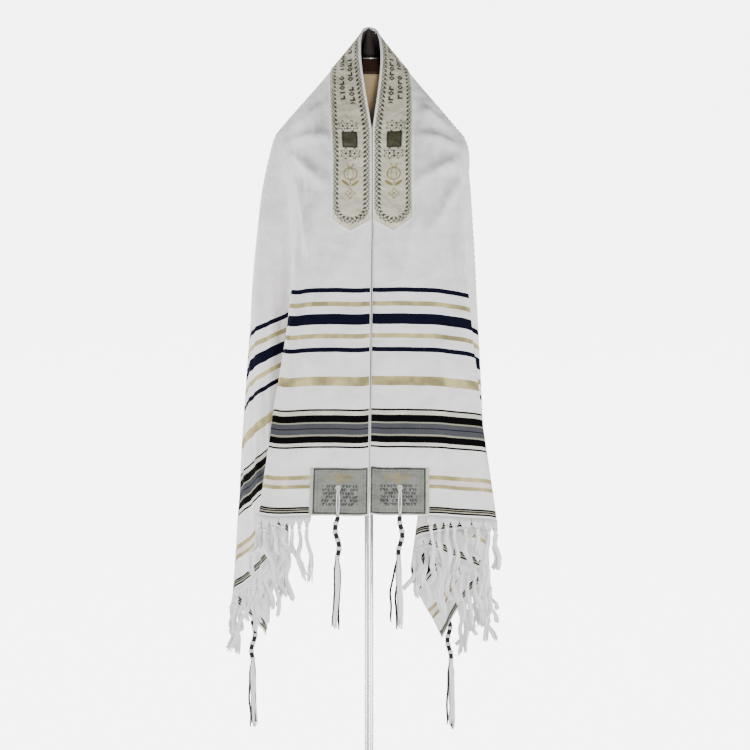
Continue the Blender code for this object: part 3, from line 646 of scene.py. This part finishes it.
def band_ink(run, across):
    """The neckband's embroidery.  run is from the neck and across from the neck edge, in mm.
    A vine follows its edges and closes in a half circle before the point."""
    half_wide = BAND_WIDTH * 1000 / 2
    middle = across - half_wide
    past = np.maximum(run - VINE_TURN, 0)
    inward = half_wide - np.hypot(past, middle)
    bend_run = VINE_TURN + VINE_BEND * np.arctan2(past, np.abs(middle))
    vine_run = np.where(run > VINE_TURN, bend_run, run)
    ink = np.ones(run.shape + (3,)) * BROCADE
    cells = np.abs(triangle_wave(run / DIAPER)) + np.abs(triangle_wave(across / DIAPER))
    ink = ink * (0.93 + 0.07 * np.clip(cells - 0.6, 0, 1))[..., None]
    ink = stitch(ink, edge_mask(inward - PLAIN_EDGE, 0.8), linear("#d3ccb6"))
    ink = vine(ink, vine_run, inward - VINE_INSET, 8.6, 3.3, 1.5)
    ink = dashes(ink, across, run, WORD_ROWS, WORD_SPAN, 3.1, linear("#0c0e0c"))
    panel = np.maximum(np.abs(run - PANEL_AT) - 14, np.abs(middle - 1) - 12)
    hatch = np.abs(triangle_wave((run + middle) / DIAPER)) < 0.5
    ink = stitch(ink, edge_mask(panel), linear("#4b4935"))
    ink = stitch(ink, edge_mask(panel) * hatch, linear("#302f22"))
    ink = stitch(ink, edge_mask(np.abs(panel) - 1.2), INK_DARK)
    for at_run, at_middle in PANEL_ROSETTES:
        ink = rosette(ink, run - at_run, middle - at_middle, 10.0, 6, INK_DARK, 1.0)
    ink = pomegranate(ink, middle, FRUIT_AT - run, 11.0, 1.1)
    return rosette(ink, run - END_ROSETTE_AT, middle, 8.5, 4, INK_GOLD, 1.0)


def laid_piece(name, half, along, down, lift, flipped, material, ink=None):
    """A grid of the cloth's own flat points, moved out by its lift; flipped turns its faces."""
    quads = grid_quads(*along.shape)
    return new_piece(name, on_cloth(half, along, down, lift)[0],
            quads[:, ::-1] if flipped else quads, material,
            uv=np.stack([along * half.sign, down], axis=-1), ink=ink)


def neckband():
    """Two grids, left and right, on the flat band; its ends come to blunt points."""
    pieces = []
    shares = np.linspace(0, 1, 370)
    acrosses = np.linspace(EDGE_INSET, BAND_WIDTH, 68)
    share, across = np.meshgrid(shares, acrosses, indexing="ij")
    reach = BAND_HALF + BAND_POINT * (1 - np.abs(across / BAND_WIDTH * 2 - 1))
    along = share * reach
    rim = np.minimum(np.minimum(across - EDGE_INSET, BAND_WIDTH - across), (reach - along) * 0.8)
    ink = band_ink(along * 1000, across * 1000)
    for half, side in SIDES:
        pieces.append(laid_piece("neckband_" + side, half, along, across, laid_lift(rim),
                half.sign > 0, BROCADE_WEAVE, ink))
    return pieces


SQUARE_TALL = 0.085
SQUARE_WIDE = 0.104
HOLE_ALONG = 0.048             # the tassel's hole, from the fringed end
HOLE_DOWN = 0.052              # and from the long edge
# Its embroidery, in mm up from the fringed end and out from the long edge.
FRAME_UP = (3.5, 82.5)
FRAME_OUT = (3, 97)
FRAME_HALF = 1.35              # half the width of the frame's line
CENTRE_OUT = 49
DOT_PITCH = 6.2


def sewn_square(side, half, back):
    """One corner square; back is true at the far edge of the cloth."""
    up, out = np.meshgrid(np.linspace(0, 1, 100), np.linspace(0, 1, 118), indexing="ij")
    from_hem = EDGE_INSET + up * (SQUARE_TALL - EDGE_INSET)
    from_edge = EDGE_INSET + out * (SQUARE_WIDE - EDGE_INSET)
    rim = np.minimum(np.minimum(from_hem - EDGE_INSET, SQUARE_TALL - from_hem),
            np.minimum(from_edge - EDGE_INSET, SQUARE_WIDE - from_edge))
    down = WIDTH - from_edge if back else from_edge
    return laid_piece("corner_square_%s_%s" % ("back" if back else "front", side), half,
            HALF - from_hem, down, laid_lift(rim), (half.sign > 0) == back, BROCADE_WEAVE,
            square_ink(from_hem * 1000, from_edge * 1000))


def square_ink(up, out):
    """A corner square's embroidery: frames, a gold fruit and rows of dashes.  up is from the hem
    and out from the cloth's edge, in mm."""
    frame_line = np.maximum(np.maximum(FRAME_UP[0] - up, up - FRAME_UP[1]),
            np.maximum(FRAME_OUT[0] - out, out - FRAME_OUT[1]))
    ink = np.ones(up.shape + (3,)) * linear("#70716b")
    # painted shade: the ground is darkened by a tenth in diagonal bands, for the shading of its
    # puckers
    ink = ink * (0.9 + 0.1 * (np.abs(triangle_wave((up + out) / 6)) > 0.5))[..., None]
    ink = stitch(ink, edge_mask(-frame_line), linear("#a5a69c"))
    ink = stitch(ink, edge_mask(np.abs(frame_line) - FRAME_HALF), INK_DARK)
    dots = np.hypot(up % DOT_PITCH - DOT_PITCH / 2, out % DOT_PITCH - DOT_PITCH / 2) - 1.2
    dots = np.maximum(dots, np.abs(frame_line + 5) - 2.6)
    ink = stitch(ink, edge_mask(dots), linear("#55584f"))
    ink = pomegranate(ink, out - CENTRE_OUT, up - 67, 5.0, 1.2)
    for side in (-1, 1):
        ink = rosette(ink, out - CENTRE_OUT - 16 * side, up - 68, 6.5, 6, INK_GOLD, 1.1)
    ink = dashes(ink, 80 - up, out, (25, 64, 6.5), (19, 83), 1.55, linear("#040507"))
    hole = np.hypot(out - HOLE_DOWN * 1000, up - HOLE_ALONG * 1000) - 5.0
    return stitch(ink, edge_mask(hole), linear("#b9bab4"))


sewn = [(piece, "neckband") for piece in neckband()]
for half, side in SIDES:
    for back, end in ((False, "front"), (True, "back")):
        sewn.append((sewn_square(side, half, back), "corner_square_%s_%s" % (end, side)))
for piece, node in sewn:
    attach(piece, "root")
    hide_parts(node)

# ---- Painted shade inside the peak: a dark sheet laid just under the cloth, where the inside of the peak lies in shade.
# It shows through the neck opening, behind the cap's ring.
SHADE_SHEET_LONG = 0.105            # each way from the middle of the neck
SHADE_SHEET_FROM = 0.004            # away from the neck edge
SHADE_SHEET_TO = 0.130
SHADE_SHEET_RIM = -0.0006           # its rim hides in the cloth, and the rest lies further in
SHADE_SHEET_DROP = 0.0005
SHADE_SHEET_RIM_WIDE = 0.0015


def peak_shade_sheet(half, side):
    """A dark sheet of painted shade under the peak: the cloth's own points moved inward, its rim
    turned under.
    """
    along, down = np.meshgrid(np.linspace(0, SHADE_SHEET_LONG, 50),
            np.linspace(SHADE_SHEET_FROM, SHADE_SHEET_TO, 60), indexing="ij")
    rim = np.minimum(np.minimum(SHADE_SHEET_LONG - along, down - SHADE_SHEET_FROM), SHADE_SHEET_TO - down)
    lift = SHADE_SHEET_RIM - SHADE_SHEET_DROP * smooth(rim / SHADE_SHEET_RIM_WIDE)
    return laid_piece("peak_shade_sheet_" + side, half, along, down, lift, half.sign < 0,
            PEAK_SHADE_PAINT)


def wear_two_tones(tree, shader, pattern, dark, light, bump=None):
    """Gives a shader two hex colours, mixed by a pattern between 0 and 1."""
    ramp = add_node(tree, "ValToRGB", {0: pattern})
    for element, code in zip(ramp.color_ramp.elements, (dark, light)):
        element.color = (*linear(code), 1)
    wear(tree, shader, ramp, bump)


def peak_shade_material():
    """Painted shade: two dark greys for the shadow inside the peak, mottled faintly over some 5 mm.
    """
    material, tree, shader = new_material("painted_peak_shade", 0.7)
    flat = add_node(tree, "UVMap", uv_map="flat")
    slub = add_node(tree, "TexNoise", {"Vector": flat, "Scale": 180.0, "Detail": 3.0})
    # the two greys are painted shade, not the colour of any cloth
    wear_two_tones(tree, shader, slub, "#3b3634", "#5a5452")
    return material


PEAK_SHADE_PAINT = peak_shade_material()
for half, side in SIDES:
    # a sheet of painted shade on each side of the peak
    shade_sheet = peak_shade_sheet(half, side)
    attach(shade_sheet, "root")

# ---- Piping: a white twisted cord sewn round the neckband, and a narrow rolled hem on the
# cloth's edges.  Both are tubes along paths of flat points.
def tubes(name, paths, radii, sides, material, ink=None):
    """Closed tubes, one for each path.  paths is (strands, points, 3); radii and ink are one for
    all or spread to match.  Each ring is radius * (cos a * level + sin a * front) round its
    point, square to the path."""
    tangent = np.gradient(paths, axis=1)
    tangent /= np.maximum(np.linalg.norm(tangent, axis=-1, keepdims=True), 1e-12)
    level = np.cross(tangent, (0.31, 0.93, 0.17))
    level /= np.linalg.norm(level, axis=-1, keepdims=True)
    front = np.cross(tangent, level)
    angle = np.arange(sides) * 2 * np.pi / sides
    ring = (np.cos(angle)[:, None] * level[..., None, :]
            + np.sin(angle)[:, None] * front[..., None, :])
    radii = np.broadcast_to(radii, paths.shape[:2])
    points = paths[..., None, :] + radii[..., None, None] * ring
    strands, count = radii.shape
    quads = grid_quads(count, sides, closed=True)
    starts = np.arange(strands) * count * sides
    faces = (quads[None] + starts[:, None, None]).reshape(-1, 4).tolist()
    first = starts[:, None] + np.arange(sides)[::-1]
    last = starts[:, None] + (count - 1) * sides + np.arange(sides)
    faces += first.tolist() + last.tolist()
    if ink is not None:
        ink = np.broadcast_to(np.broadcast_to(ink, paths.shape)[..., None, :], points.shape)
    return new_piece(name, points, faces, material, ink=ink)


def yarn_material(name, roughness, twist):
    """Twisted yarn, matt and soft at its outline: point colours under a slanted ply, 1.4 mm apart
    on the wool and 0.9 mm on the cords."""
    material, tree, shader = new_material(name, roughness, sheen=0.3)
    ink = add_node(tree, "VertexColor", layer_name="ink")
    place = add_node(tree, "TexCoord")
    ply = add_node(tree, "TexWave", {"Vector": place.outputs["Object"], "Scale": twist,
            "Distortion": 1.0}, bands_direction="DIAGONAL")
    tone = add_node(tree, "MapRange", {0: ply.outputs[1], 3: 0.82, 4: 1.0})
    shaded = add_node(tree, "VectorMath", {0: ink, 1: tone}, operation="MULTIPLY")
    bump = add_node(tree, "Bump", {"Height": ply.outputs[1], "Strength": 0.4, "Distance": 0.0004})
    wear(tree, shader, shaded, bump)
    return material


YARN = yarn_material("white_wool_yarn", 0.85, 260.0)
YARN_WHITE = linear("#fbfafb")
PIPING_RADIUS = 0.0011
PIPING_LIFT = 0.0017           # its middle over the cloth's middle
HEM_RADIUS = 0.0010
HEM_START = 0.004              # the hem's first point, just past the peak


def neckband_piping():
    """Down the outer edge of the band, round its point and back up the neck edge."""
    paths = []
    for half in (LEFT, RIGHT):
        outer = np.linspace(0, BAND_HALF, 260)
        inner = np.full(len(outer) - 1, 0.0)
        corner = np.linspace(0, 1, 24)[1:]
        along = np.concatenate([outer, BAND_HALF + BAND_POINT * corner,
                BAND_HALF + BAND_POINT * (1 - corner), outer[::-1][1:]])
        down = np.concatenate([np.full(len(outer), BAND_WIDTH), BAND_WIDTH * (1 - corner / 2),
                BAND_WIDTH * (1 - corner) / 2, inner])
        down = np.clip(down, 0.0014, BAND_WIDTH - 0.0004)
        paths.append(on_cloth(half, along, down, PIPING_LIFT)[0])
    return tubes("neckband_piping", np.array(paths), PIPING_RADIUS, 6, YARN, YARN_WHITE)


def rolled_hem():
    """The cloth's edges: down the front, along the fringed end and back along the far edge."""
    paths = []
    for half in (LEFT, RIGHT):
        front = np.linspace(HEM_START, HALF, 330)
        end = np.linspace(0, WIDTH, 290)[1:]
        along = np.concatenate([front, 0 * end + HALF, HALF - (front - HEM_START)])
        down = np.concatenate([0 * front, end, 0 * front + WIDTH])
        paths.append(on_cloth(half, along, down)[0])
    return tubes("rolled_hem", np.array(paths), HEM_RADIUS, 5, YARN, YARN_WHITE)


for piece in (neckband_piping(), rolled_hem()):
    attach(piece, "root")

# ---- Fringes: yarn ends drawn from the short edges, tied in bundles a little below the cloth and
# left to hang.  Each bundle is a set of tubes that meet at its knot.
FRINGE_FROM = 0.100
FRINGE_TO = 0.704
BUNDLES = 44
ENDS = 12                      # yarn ends in a bundle
KNOT_DROP = (0.019, 0.027)     # from the hem to the knot
HANG = (0.046, 0.088)          # from the knot to the ends
BUNDLE_RADIUS = 0.0035
KNOT_HALF = 0.0030             # half the height of a knot
SPIRAL = 2.4                   # radians from one end to the next, so that they fill a circle
LEAN = 0.15                    # how far a bundle leans out of plumb, and each end in it
STRAY = 0.018
CURL = 0.0045
TO_KNOT = ((0.0, 0.0), (0.45, 0.05), (0.78, 0.5), (1.0, 1.0))  # share of the way, drawn in
BELOW_KNOT = (0.1, 0.25, 0.4, 0.55, 0.7, 0.85, 1.0)            # share of the hang
END_RADII = (0.9, 0.9, 0.9, 0.8, 1.2, 1.5, 1.6, 1.6, 1.6, 1.5, 1.0)  # in mm, at all of these
KNOT_RADIUS = (0.0012, 0.0028)  # at its ends, and what its middle adds


def fringe(side, half, seed):
    """All ends of one short edge as one mesh.  An end starts on the hem within its bundle's
    share, meets the knot and hangs below it: down by gravity, out by its own lean."""
    chance = np.random.default_rng(seed)
    pitch = (FRINGE_TO - FRINGE_FROM) / BUNDLES
    middles = FRINGE_FROM + pitch * (np.arange(BUNDLES) + 0.5)
    roots = middles[:, None] + pitch * 0.9 * (np.arange(ENDS) / (ENDS - 1) - 0.5)
    hem, out = on_cloth(half, np.full(roots.shape, HALF), roots)
    above = on_cloth(half, np.full(middles.shape, HALF - 0.02), middles)[0]
    middle_hem, middle_out = on_cloth(half, np.full(middles.shape, HALF), middles)
    fall = (middle_hem - above) / np.linalg.norm(middle_hem - above, axis=-1, keepdims=True)
    fall = fall * 0.6 + np.array([0, 0, -0.4])
    knot_drop = chance.uniform(*KNOT_DROP, (BUNDLES, 1))
    knot = middle_hem + fall * knot_drop + middle_out * 0.001
    length = chance.uniform(*HANG, (BUNDLES, 1)) * chance.uniform(0.92, 1.02, (BUNDLES, ENDS))
    wander = middle_out[:, None] * 0.05 + chance.normal(0, LEAN, (BUNDLES, 1, 3))
    wander = wander + chance.normal(0, STRAY, (BUNDLES, ENDS, 3))
    phase = chance.uniform(0, 2 * np.pi, (BUNDLES, 1))
    beat = chance.uniform(4, 9, (BUNDLES, 1))
    turn = np.arange(ENDS) * SPIRAL + phase
    pack = np.stack([np.cos(turn), np.sin(turn), np.zeros_like(turn)], axis=-1)
    pack = pack * (BUNDLE_RADIUS * np.sqrt((np.arange(ENDS) + 0.5) / ENDS))[:, None]
    steps = []
    for share, gather in TO_KNOT:
        straight = hem + (fall * knot_drop)[:, None] * share
        gathered = knot[:, None] + pack * 0.3 + (fall * knot_drop)[:, None] * (share - 1)
        steps.append(straight + (gathered - straight) * gather + out * 0.0004)
    for share in BELOW_KNOT:
        bend = np.stack([np.sin(phase + share * beat), np.cos(phase * 2 + share * 5),
                np.zeros_like(phase)], axis=-1) * CURL * smooth(share * 2)
        down = (np.array([0, 0, -1.0]) + wander * share) * (length * share)[..., None]
        steps.append(knot[:, None] + pack * (0.75 + 0.25 * share) + down + bend)
    paths = np.stack(steps, axis=2).reshape(BUNDLES * ENDS, len(steps), 3)
    thick = 0.001 * np.array(END_RADII)
    tone = chance.uniform(0.93, 1.0, (BUNDLES * ENDS, 1, 1))
    ends = tubes("fringe_" + side, paths, thick, 4, YARN, YARN_WHITE * tone)
    rise = np.linspace(-1, 1, 7)
    centres = knot[:, None] + rise[:, None] * np.array([0, 0, -KNOT_HALF])
    bulges = KNOT_RADIUS[0] + KNOT_RADIUS[1] * np.sqrt(1 - (rise * 0.98) ** 2)
    knots = tubes("fringe_knots_" + side, centres, bulges, 8, YARN, YARN_WHITE * 0.96)
    return ends, knots


for half, side, seed in ((LEFT, "left", 11), (RIGHT, "right", 12)):
    ends, knots = fringe(side, half, seed)
    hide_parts("fringe_" + side)
    for piece in (ends, knots):
        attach(piece, "root")

# ---- Corner tassels: three cords, the middle one dark, looped through a hole in each corner
# square, wound and knotted with dark thread below the hem, then left as thirteen white ends and
# two dark ones.
HEAD_LENGTH = 0.075
TASSEL_END = 0.130
HEAD_RADIUS = 0.0043
HEAD_KNOTS = 5                 # wound stretches between knots
TASSEL_ENDS = 15
DARK_ENDS = 2
END_RADIUS = 0.0020
LOOP_RADIUS = 0.0012
LOOP_APART = 0.0021
LOOP_LIFT = 0.0034             # over the cloth's middle, clear of the brocade
HEAD_LIFT = 0.0050
HEAD_SWAY = 0.0030
KNOT_RISE = 0.0010             # what a knot adds to the head's radius, and a winding
WINDING_RISE = 0.0003
WINDINGS = 7                   # between knots
TASSEL_RADIUS = 0.0052
CORD = yarn_material("wound_tassel_cord", 0.7, 420.0)
CORD_DARK = linear("#15161f")


def tassel(end, side, half, hole_down, seed, parting):
    """Loops from the hole to the hem, a wound head between knots, and loose ends below it.
    parting is how far the dark ends hang from the white ones."""
    chance = np.random.default_rng(seed)
    corner = "_%s_%s" % (end, side)
    share = np.linspace(0, 1, 16)
    shifts = np.array([[-LOOP_APART], [0.0], [LOOP_APART]])
    loops, _ = on_cloth(half, HALF - HOLE_ALONG * (1 - share) + 0 * shifts,
            hole_down + shifts * np.sin(np.pi * share) ** 0.5, LOOP_LIFT)
    ink = np.where(np.arange(3)[:, None, None] == 1, CORD_DARK, YARN_WHITE)
    thin = tubes("tzitzit_loop" + corner, loops, LOOP_RADIUS, 6, CORD, ink)
    start = on_cloth(half, np.array([HALF]), np.array([hole_down]), HEAD_LIFT)[0][0]
    rise = np.linspace(0, 1, 141)
    sway = HEAD_SWAY * np.stack([np.sin(7.8 * rise + seed) - math.sin(seed) * (1 - rise),
            0.3 * np.cos(4 * rise), 0 * rise], axis=-1) * smooth(rise * 6)[:, None]
    head = start + sway + rise[:, None] * np.array([0, 0, -HEAD_LENGTH])
    coil = rise * HEAD_KNOTS
    knotted = np.exp(-(((coil - np.round(coil)) / 0.13) ** 2))
    winding = np.sin(coil * 2 * np.pi * WINDINGS)
    radius = HEAD_RADIUS + KNOT_RISE * knotted + WINDING_RISE * winding * (1 - knotted)
    radius = radius * (0.6 + 0.4 * smooth(rise * 12))
    dark = (coil % 1 > 0.14) & (coil % 1 < 0.76) | (winding > 0.93)
    colour = np.where(dark[:, None], CORD_DARK, YARN_WHITE)
    wound = tubes("tzitzit" + corner, head[None], radius, 12, CORD, colour)
    count = TASSEL_ENDS
    turn = np.arange(count) * SPIRAL + 3.5
    drop = np.linspace(0, 1, 18)
    spread = TASSEL_RADIUS * np.sqrt((np.arange(count) + 0.5) / count)[::-1, None]
    spread = spread * (0.35 + 0.65 * smooth(drop * 5))
    wave = chance.uniform(0.8, 2.4, count)
    reach = TASSEL_END * chance.uniform(0.84, 1.0, count)
    ripple = 0.0014 * np.sin(wave[:, None] * 2 * np.pi * drop + turn[:, None]) * drop
    ripple = ripple + 0.0030 * np.sin(2.6 * drop + seed) * drop
    aside = np.zeros((count, 1))
    aside[:DARK_ENDS] = -parting
    aside[DARK_ENDS:] = parting * 0.35
    aside = aside * smooth(drop * 1.6)
    ends = head[-1] + np.stack([np.cos(turn)[:, None] * spread + ripple + aside,
            np.sin(turn)[:, None] * spread + ripple * 0.5, -reach[:, None] * drop], axis=-1)
    ink = np.where(np.arange(count)[:, None, None] < DARK_ENDS, CORD_DARK, YARN_WHITE)
    thick = END_RADIUS * (1 - 0.4 * smooth(drop * 8 - 7))
    loose = tubes("tzitzit_ends" + corner, ends, thick, 6, CORD, ink)
    return wound, thin, loose


PARTINGS = {("front", "left"): 0.0, ("front", "right"): 0.009, ("back", "left"): 0.002,
        ("back", "right"): 0.003}
for half, side in SIDES:
    for end, hole_down, seed in (("front", HOLE_DOWN, 3), ("back", WIDTH - HOLE_DOWN, 6)):
        wound, thin, loose = tassel(end, side, half, hole_down, seed + half.sign,
                PARTINGS[end, side])
        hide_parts("tzitzit_%s_%s" % (end, side))
        for piece in (wound, thin, loose):
            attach(piece, "root")

# ---- The form and its stand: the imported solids, the torso in tan jersey, the cap in dark stained
# beech with a steel ring round its top, the finial in smoked beech, and the pole and base in
# brushed steel.
def jersey_material():
    """Tan jersey, matt and faintly mottled.  Its knit is drawn 2 mm, coarser than the real
    0.5 mm, so that it shows."""
    material, tree, shader = new_material("tan_jersey_knit", 0.8, sheen=0.2)
    place = add_node(tree, "TexCoord")
    knit = add_node(tree, "TexNoise", {"Vector": place.outputs["Object"], "Scale": 500.0,
            "Detail": 2.0})
    bump = add_node(tree, "Bump", {"Height": knit, "Strength": 0.3, "Distance": 0.0006})
    wear_two_tones(tree, shader, knit, "#9c8563", "#ccb48c", bump)
    return material


def stained_wood_material(name, dark, light):
    """Stained beech under a satin lacquer, its grain drawn 17 mm wide and 110 mm long."""
    material, tree, shader = new_material(name, 0.55, shine=0.25)
    place = add_node(tree, "TexCoord")
    stretch = add_node(tree, "Mapping", {0: place.outputs["Object"], "Scale": (60.0, 60.0, 9.0)})
    grain = add_node(tree, "TexNoise", {"Vector": stretch, "Scale": 1.0, "Detail": 5.0})
    wear_two_tones(tree, shader, grain, dark, light)
    return material


def brushed_steel_material():
    """Brushed steel: level streaks round the pole and base, drawn 1.1 mm, wider than the grit's,
    so that they show."""
    material, tree, shader = new_material("brushed_stand_steel", 0.34, metallic=1.0)
    place = add_node(tree, "TexCoord")
    stretch = add_node(tree, "Mapping", {0: place.outputs["Object"],
            "Scale": (20.0, 20.0, 900.0)})
    brush = add_node(tree, "TexNoise", {"Vector": stretch, "Scale": 1.0, "Detail": 3.0})
    colour = add_node(tree, "MapRange", {0: brush, 3: 0.5, 4: 0.62})
    wear(tree, shader, colour)
    return material


RING_RADIUS = 0.0290
RING_HEIGHT = 1.4374
RING_WIRE = 0.0012             # half its thickness


def cap_ring(material):
    """The thin ring round the cap's top: a tube along radius * (cos a, sin a)."""
    angle = np.linspace(0, 2 * np.pi, 73)
    path = np.stack([RING_RADIUS * np.cos(angle), RING_RADIUS * np.sin(angle),
            0 * angle + RING_HEIGHT], axis=-1)
    return tubes("cap_ring", path[None], RING_WIRE, 8, material)


stained = stained_wood_material("dark_stained_beech", "#200f0a", "#40241a")
smoked = stained_wood_material("smoked_beech", "#2a2422", "#4a423e")
steel = brushed_steel_material()
ring = cap_ring(steel)
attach(ring, "root")
for node, material in (("form_torso", jersey_material()), ("neck_cap", stained),
                       ("finial", smoked), ("stand_pole", steel), ("stand_base", steel)):
    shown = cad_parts[node]
    shown.data.materials.clear()
    shown.data.materials.append(material)

# ---- The stage: a round floor of pale paint that glows a little, white air, four soft lights, one
# of them behind, and the camera level with the middle of the shawl.
FLOOR_RADIUS = 1.25


def stage_floor():
    """A level disc of pale floor: rings of points at radius * (cos a, sin a)."""
    radius = np.array([0.001, 0.4, 0.8, FLOOR_RADIUS])
    angle = np.arange(64) * 2 * np.pi / 64
    points = np.stack([radius[:, None] * np.cos(angle), radius[:, None] * np.sin(angle),
            np.zeros((4, 64)) - 0.0005], axis=-1)
    material, _, shader = new_material("pale_floor_paint", 0.9)
    shader.inputs["Base Color"].default_value = (*linear("#f4f3f2"), 1)
    shader.inputs["Emission Color"].default_value = (1.0, 1.0, 1.0, 1.0)
    shader.inputs["Emission Strength"].default_value = 0.4
    return new_piece("stage_floor", points, grid_quads(4, 64, closed=True), material)


stage_floor()


def soft_light(name, place, target, size, power):
    """A square area light at a place, aimed at a target."""
    lamp = bpy.data.lights.new(name, "AREA")
    lamp.shape = "SQUARE"
    lamp.size = size
    lamp.energy = power
    item = bpy.data.objects.new(name, lamp)
    item.location = place
    aim = np.array(target) - np.array(place)
    item.rotation_euler = (math.atan2(np.hypot(aim[0], aim[1]), -aim[2]), 0,
            math.atan2(-aim[0], aim[1]))
    bpy.context.scene.collection.objects.link(item)


soft_light("key_light", (0.6, -2.5, 0.15), (0, 0, 0.9), 0.7, 46.0)
soft_light("left_light", (-2.4, -1.0, -0.25), (0, 0, 0.7), 0.8, 70.0)
soft_light("right_light", (2.4, -1.0, -0.05), (0, 0, 0.7), 0.8, 58.0)
soft_light("back_light", (-2.1, 1.2, 1.9), (0, 0.1, 0.9), 0.5, 45.0)


def studio_air():
    """White air: brightest round the horizon and behind the shawl, dim overhead."""
    world = bpy.data.worlds.new("studio_air")
    world.use_nodes = True
    tree = world.node_tree
    way = add_node(tree, "TexCoord")
    parts = add_node(tree, "SeparateXYZ", {0: way.outputs["Generated"]})
    height = add_node(tree, "Math", {0: parts.outputs[2]}, operation="ABSOLUTE")
    level = add_node(tree, "MapRange", {0: height, 1: 0.16, 2: 0.34, 3: 1.0, 4: 0.0},
            interpolation_type="SMOOTHSTEP")
    beside = add_node(tree, "MapRange", {0: parts.outputs[1], 1: -0.7, 2: 0.2, 3: 0.5, 4: 1.7},
            interpolation_type="SMOOTHSTEP")
    behind = add_node(tree, "MapRange", {0: parts.outputs[1], 1: 0.80, 2: 0.95, 3: 0.0, 4: 4.3},
            interpolation_type="SMOOTHSTEP")
    around = add_node(tree, "Math", {0: beside, 1: behind}, operation="ADD")
    low = add_node(tree, "MapRange", {0: parts.outputs[2], 1: -0.1, 2: 0.1, 3: 0.9, 4: 0.2},
            interpolation_type="SMOOTHSTEP")
    glow = add_node(tree, "Math", {0: level, 1: around, 2: low}, operation="MULTIPLY_ADD")
    air = tree.nodes["Background"]
    air.inputs[0].default_value = (*linear("#fcfcfd"), 1)
    tree.links.new(glow.outputs[0], air.inputs[1])
    return world


bpy.context.scene.world = studio_air()

SEEN_WIDTH = 1.3725            # metres across the view, at the middle of the shawl
VIEW_DISTANCE = 5.0
camera = bpy.data.cameras.new("front_camera")
camera.sensor_width = 36.0
camera.lens = 36.0 * VIEW_DISTANCE / SEEN_WIDTH
front = bpy.data.objects.new("front_camera", camera)
front.location = (0.011, -VIEW_DISTANCE, 0.861)
front.rotation_euler = (math.pi / 2, 0, 0)
bpy.context.scene.collection.objects.link(front)
bpy.context.scene.camera = front
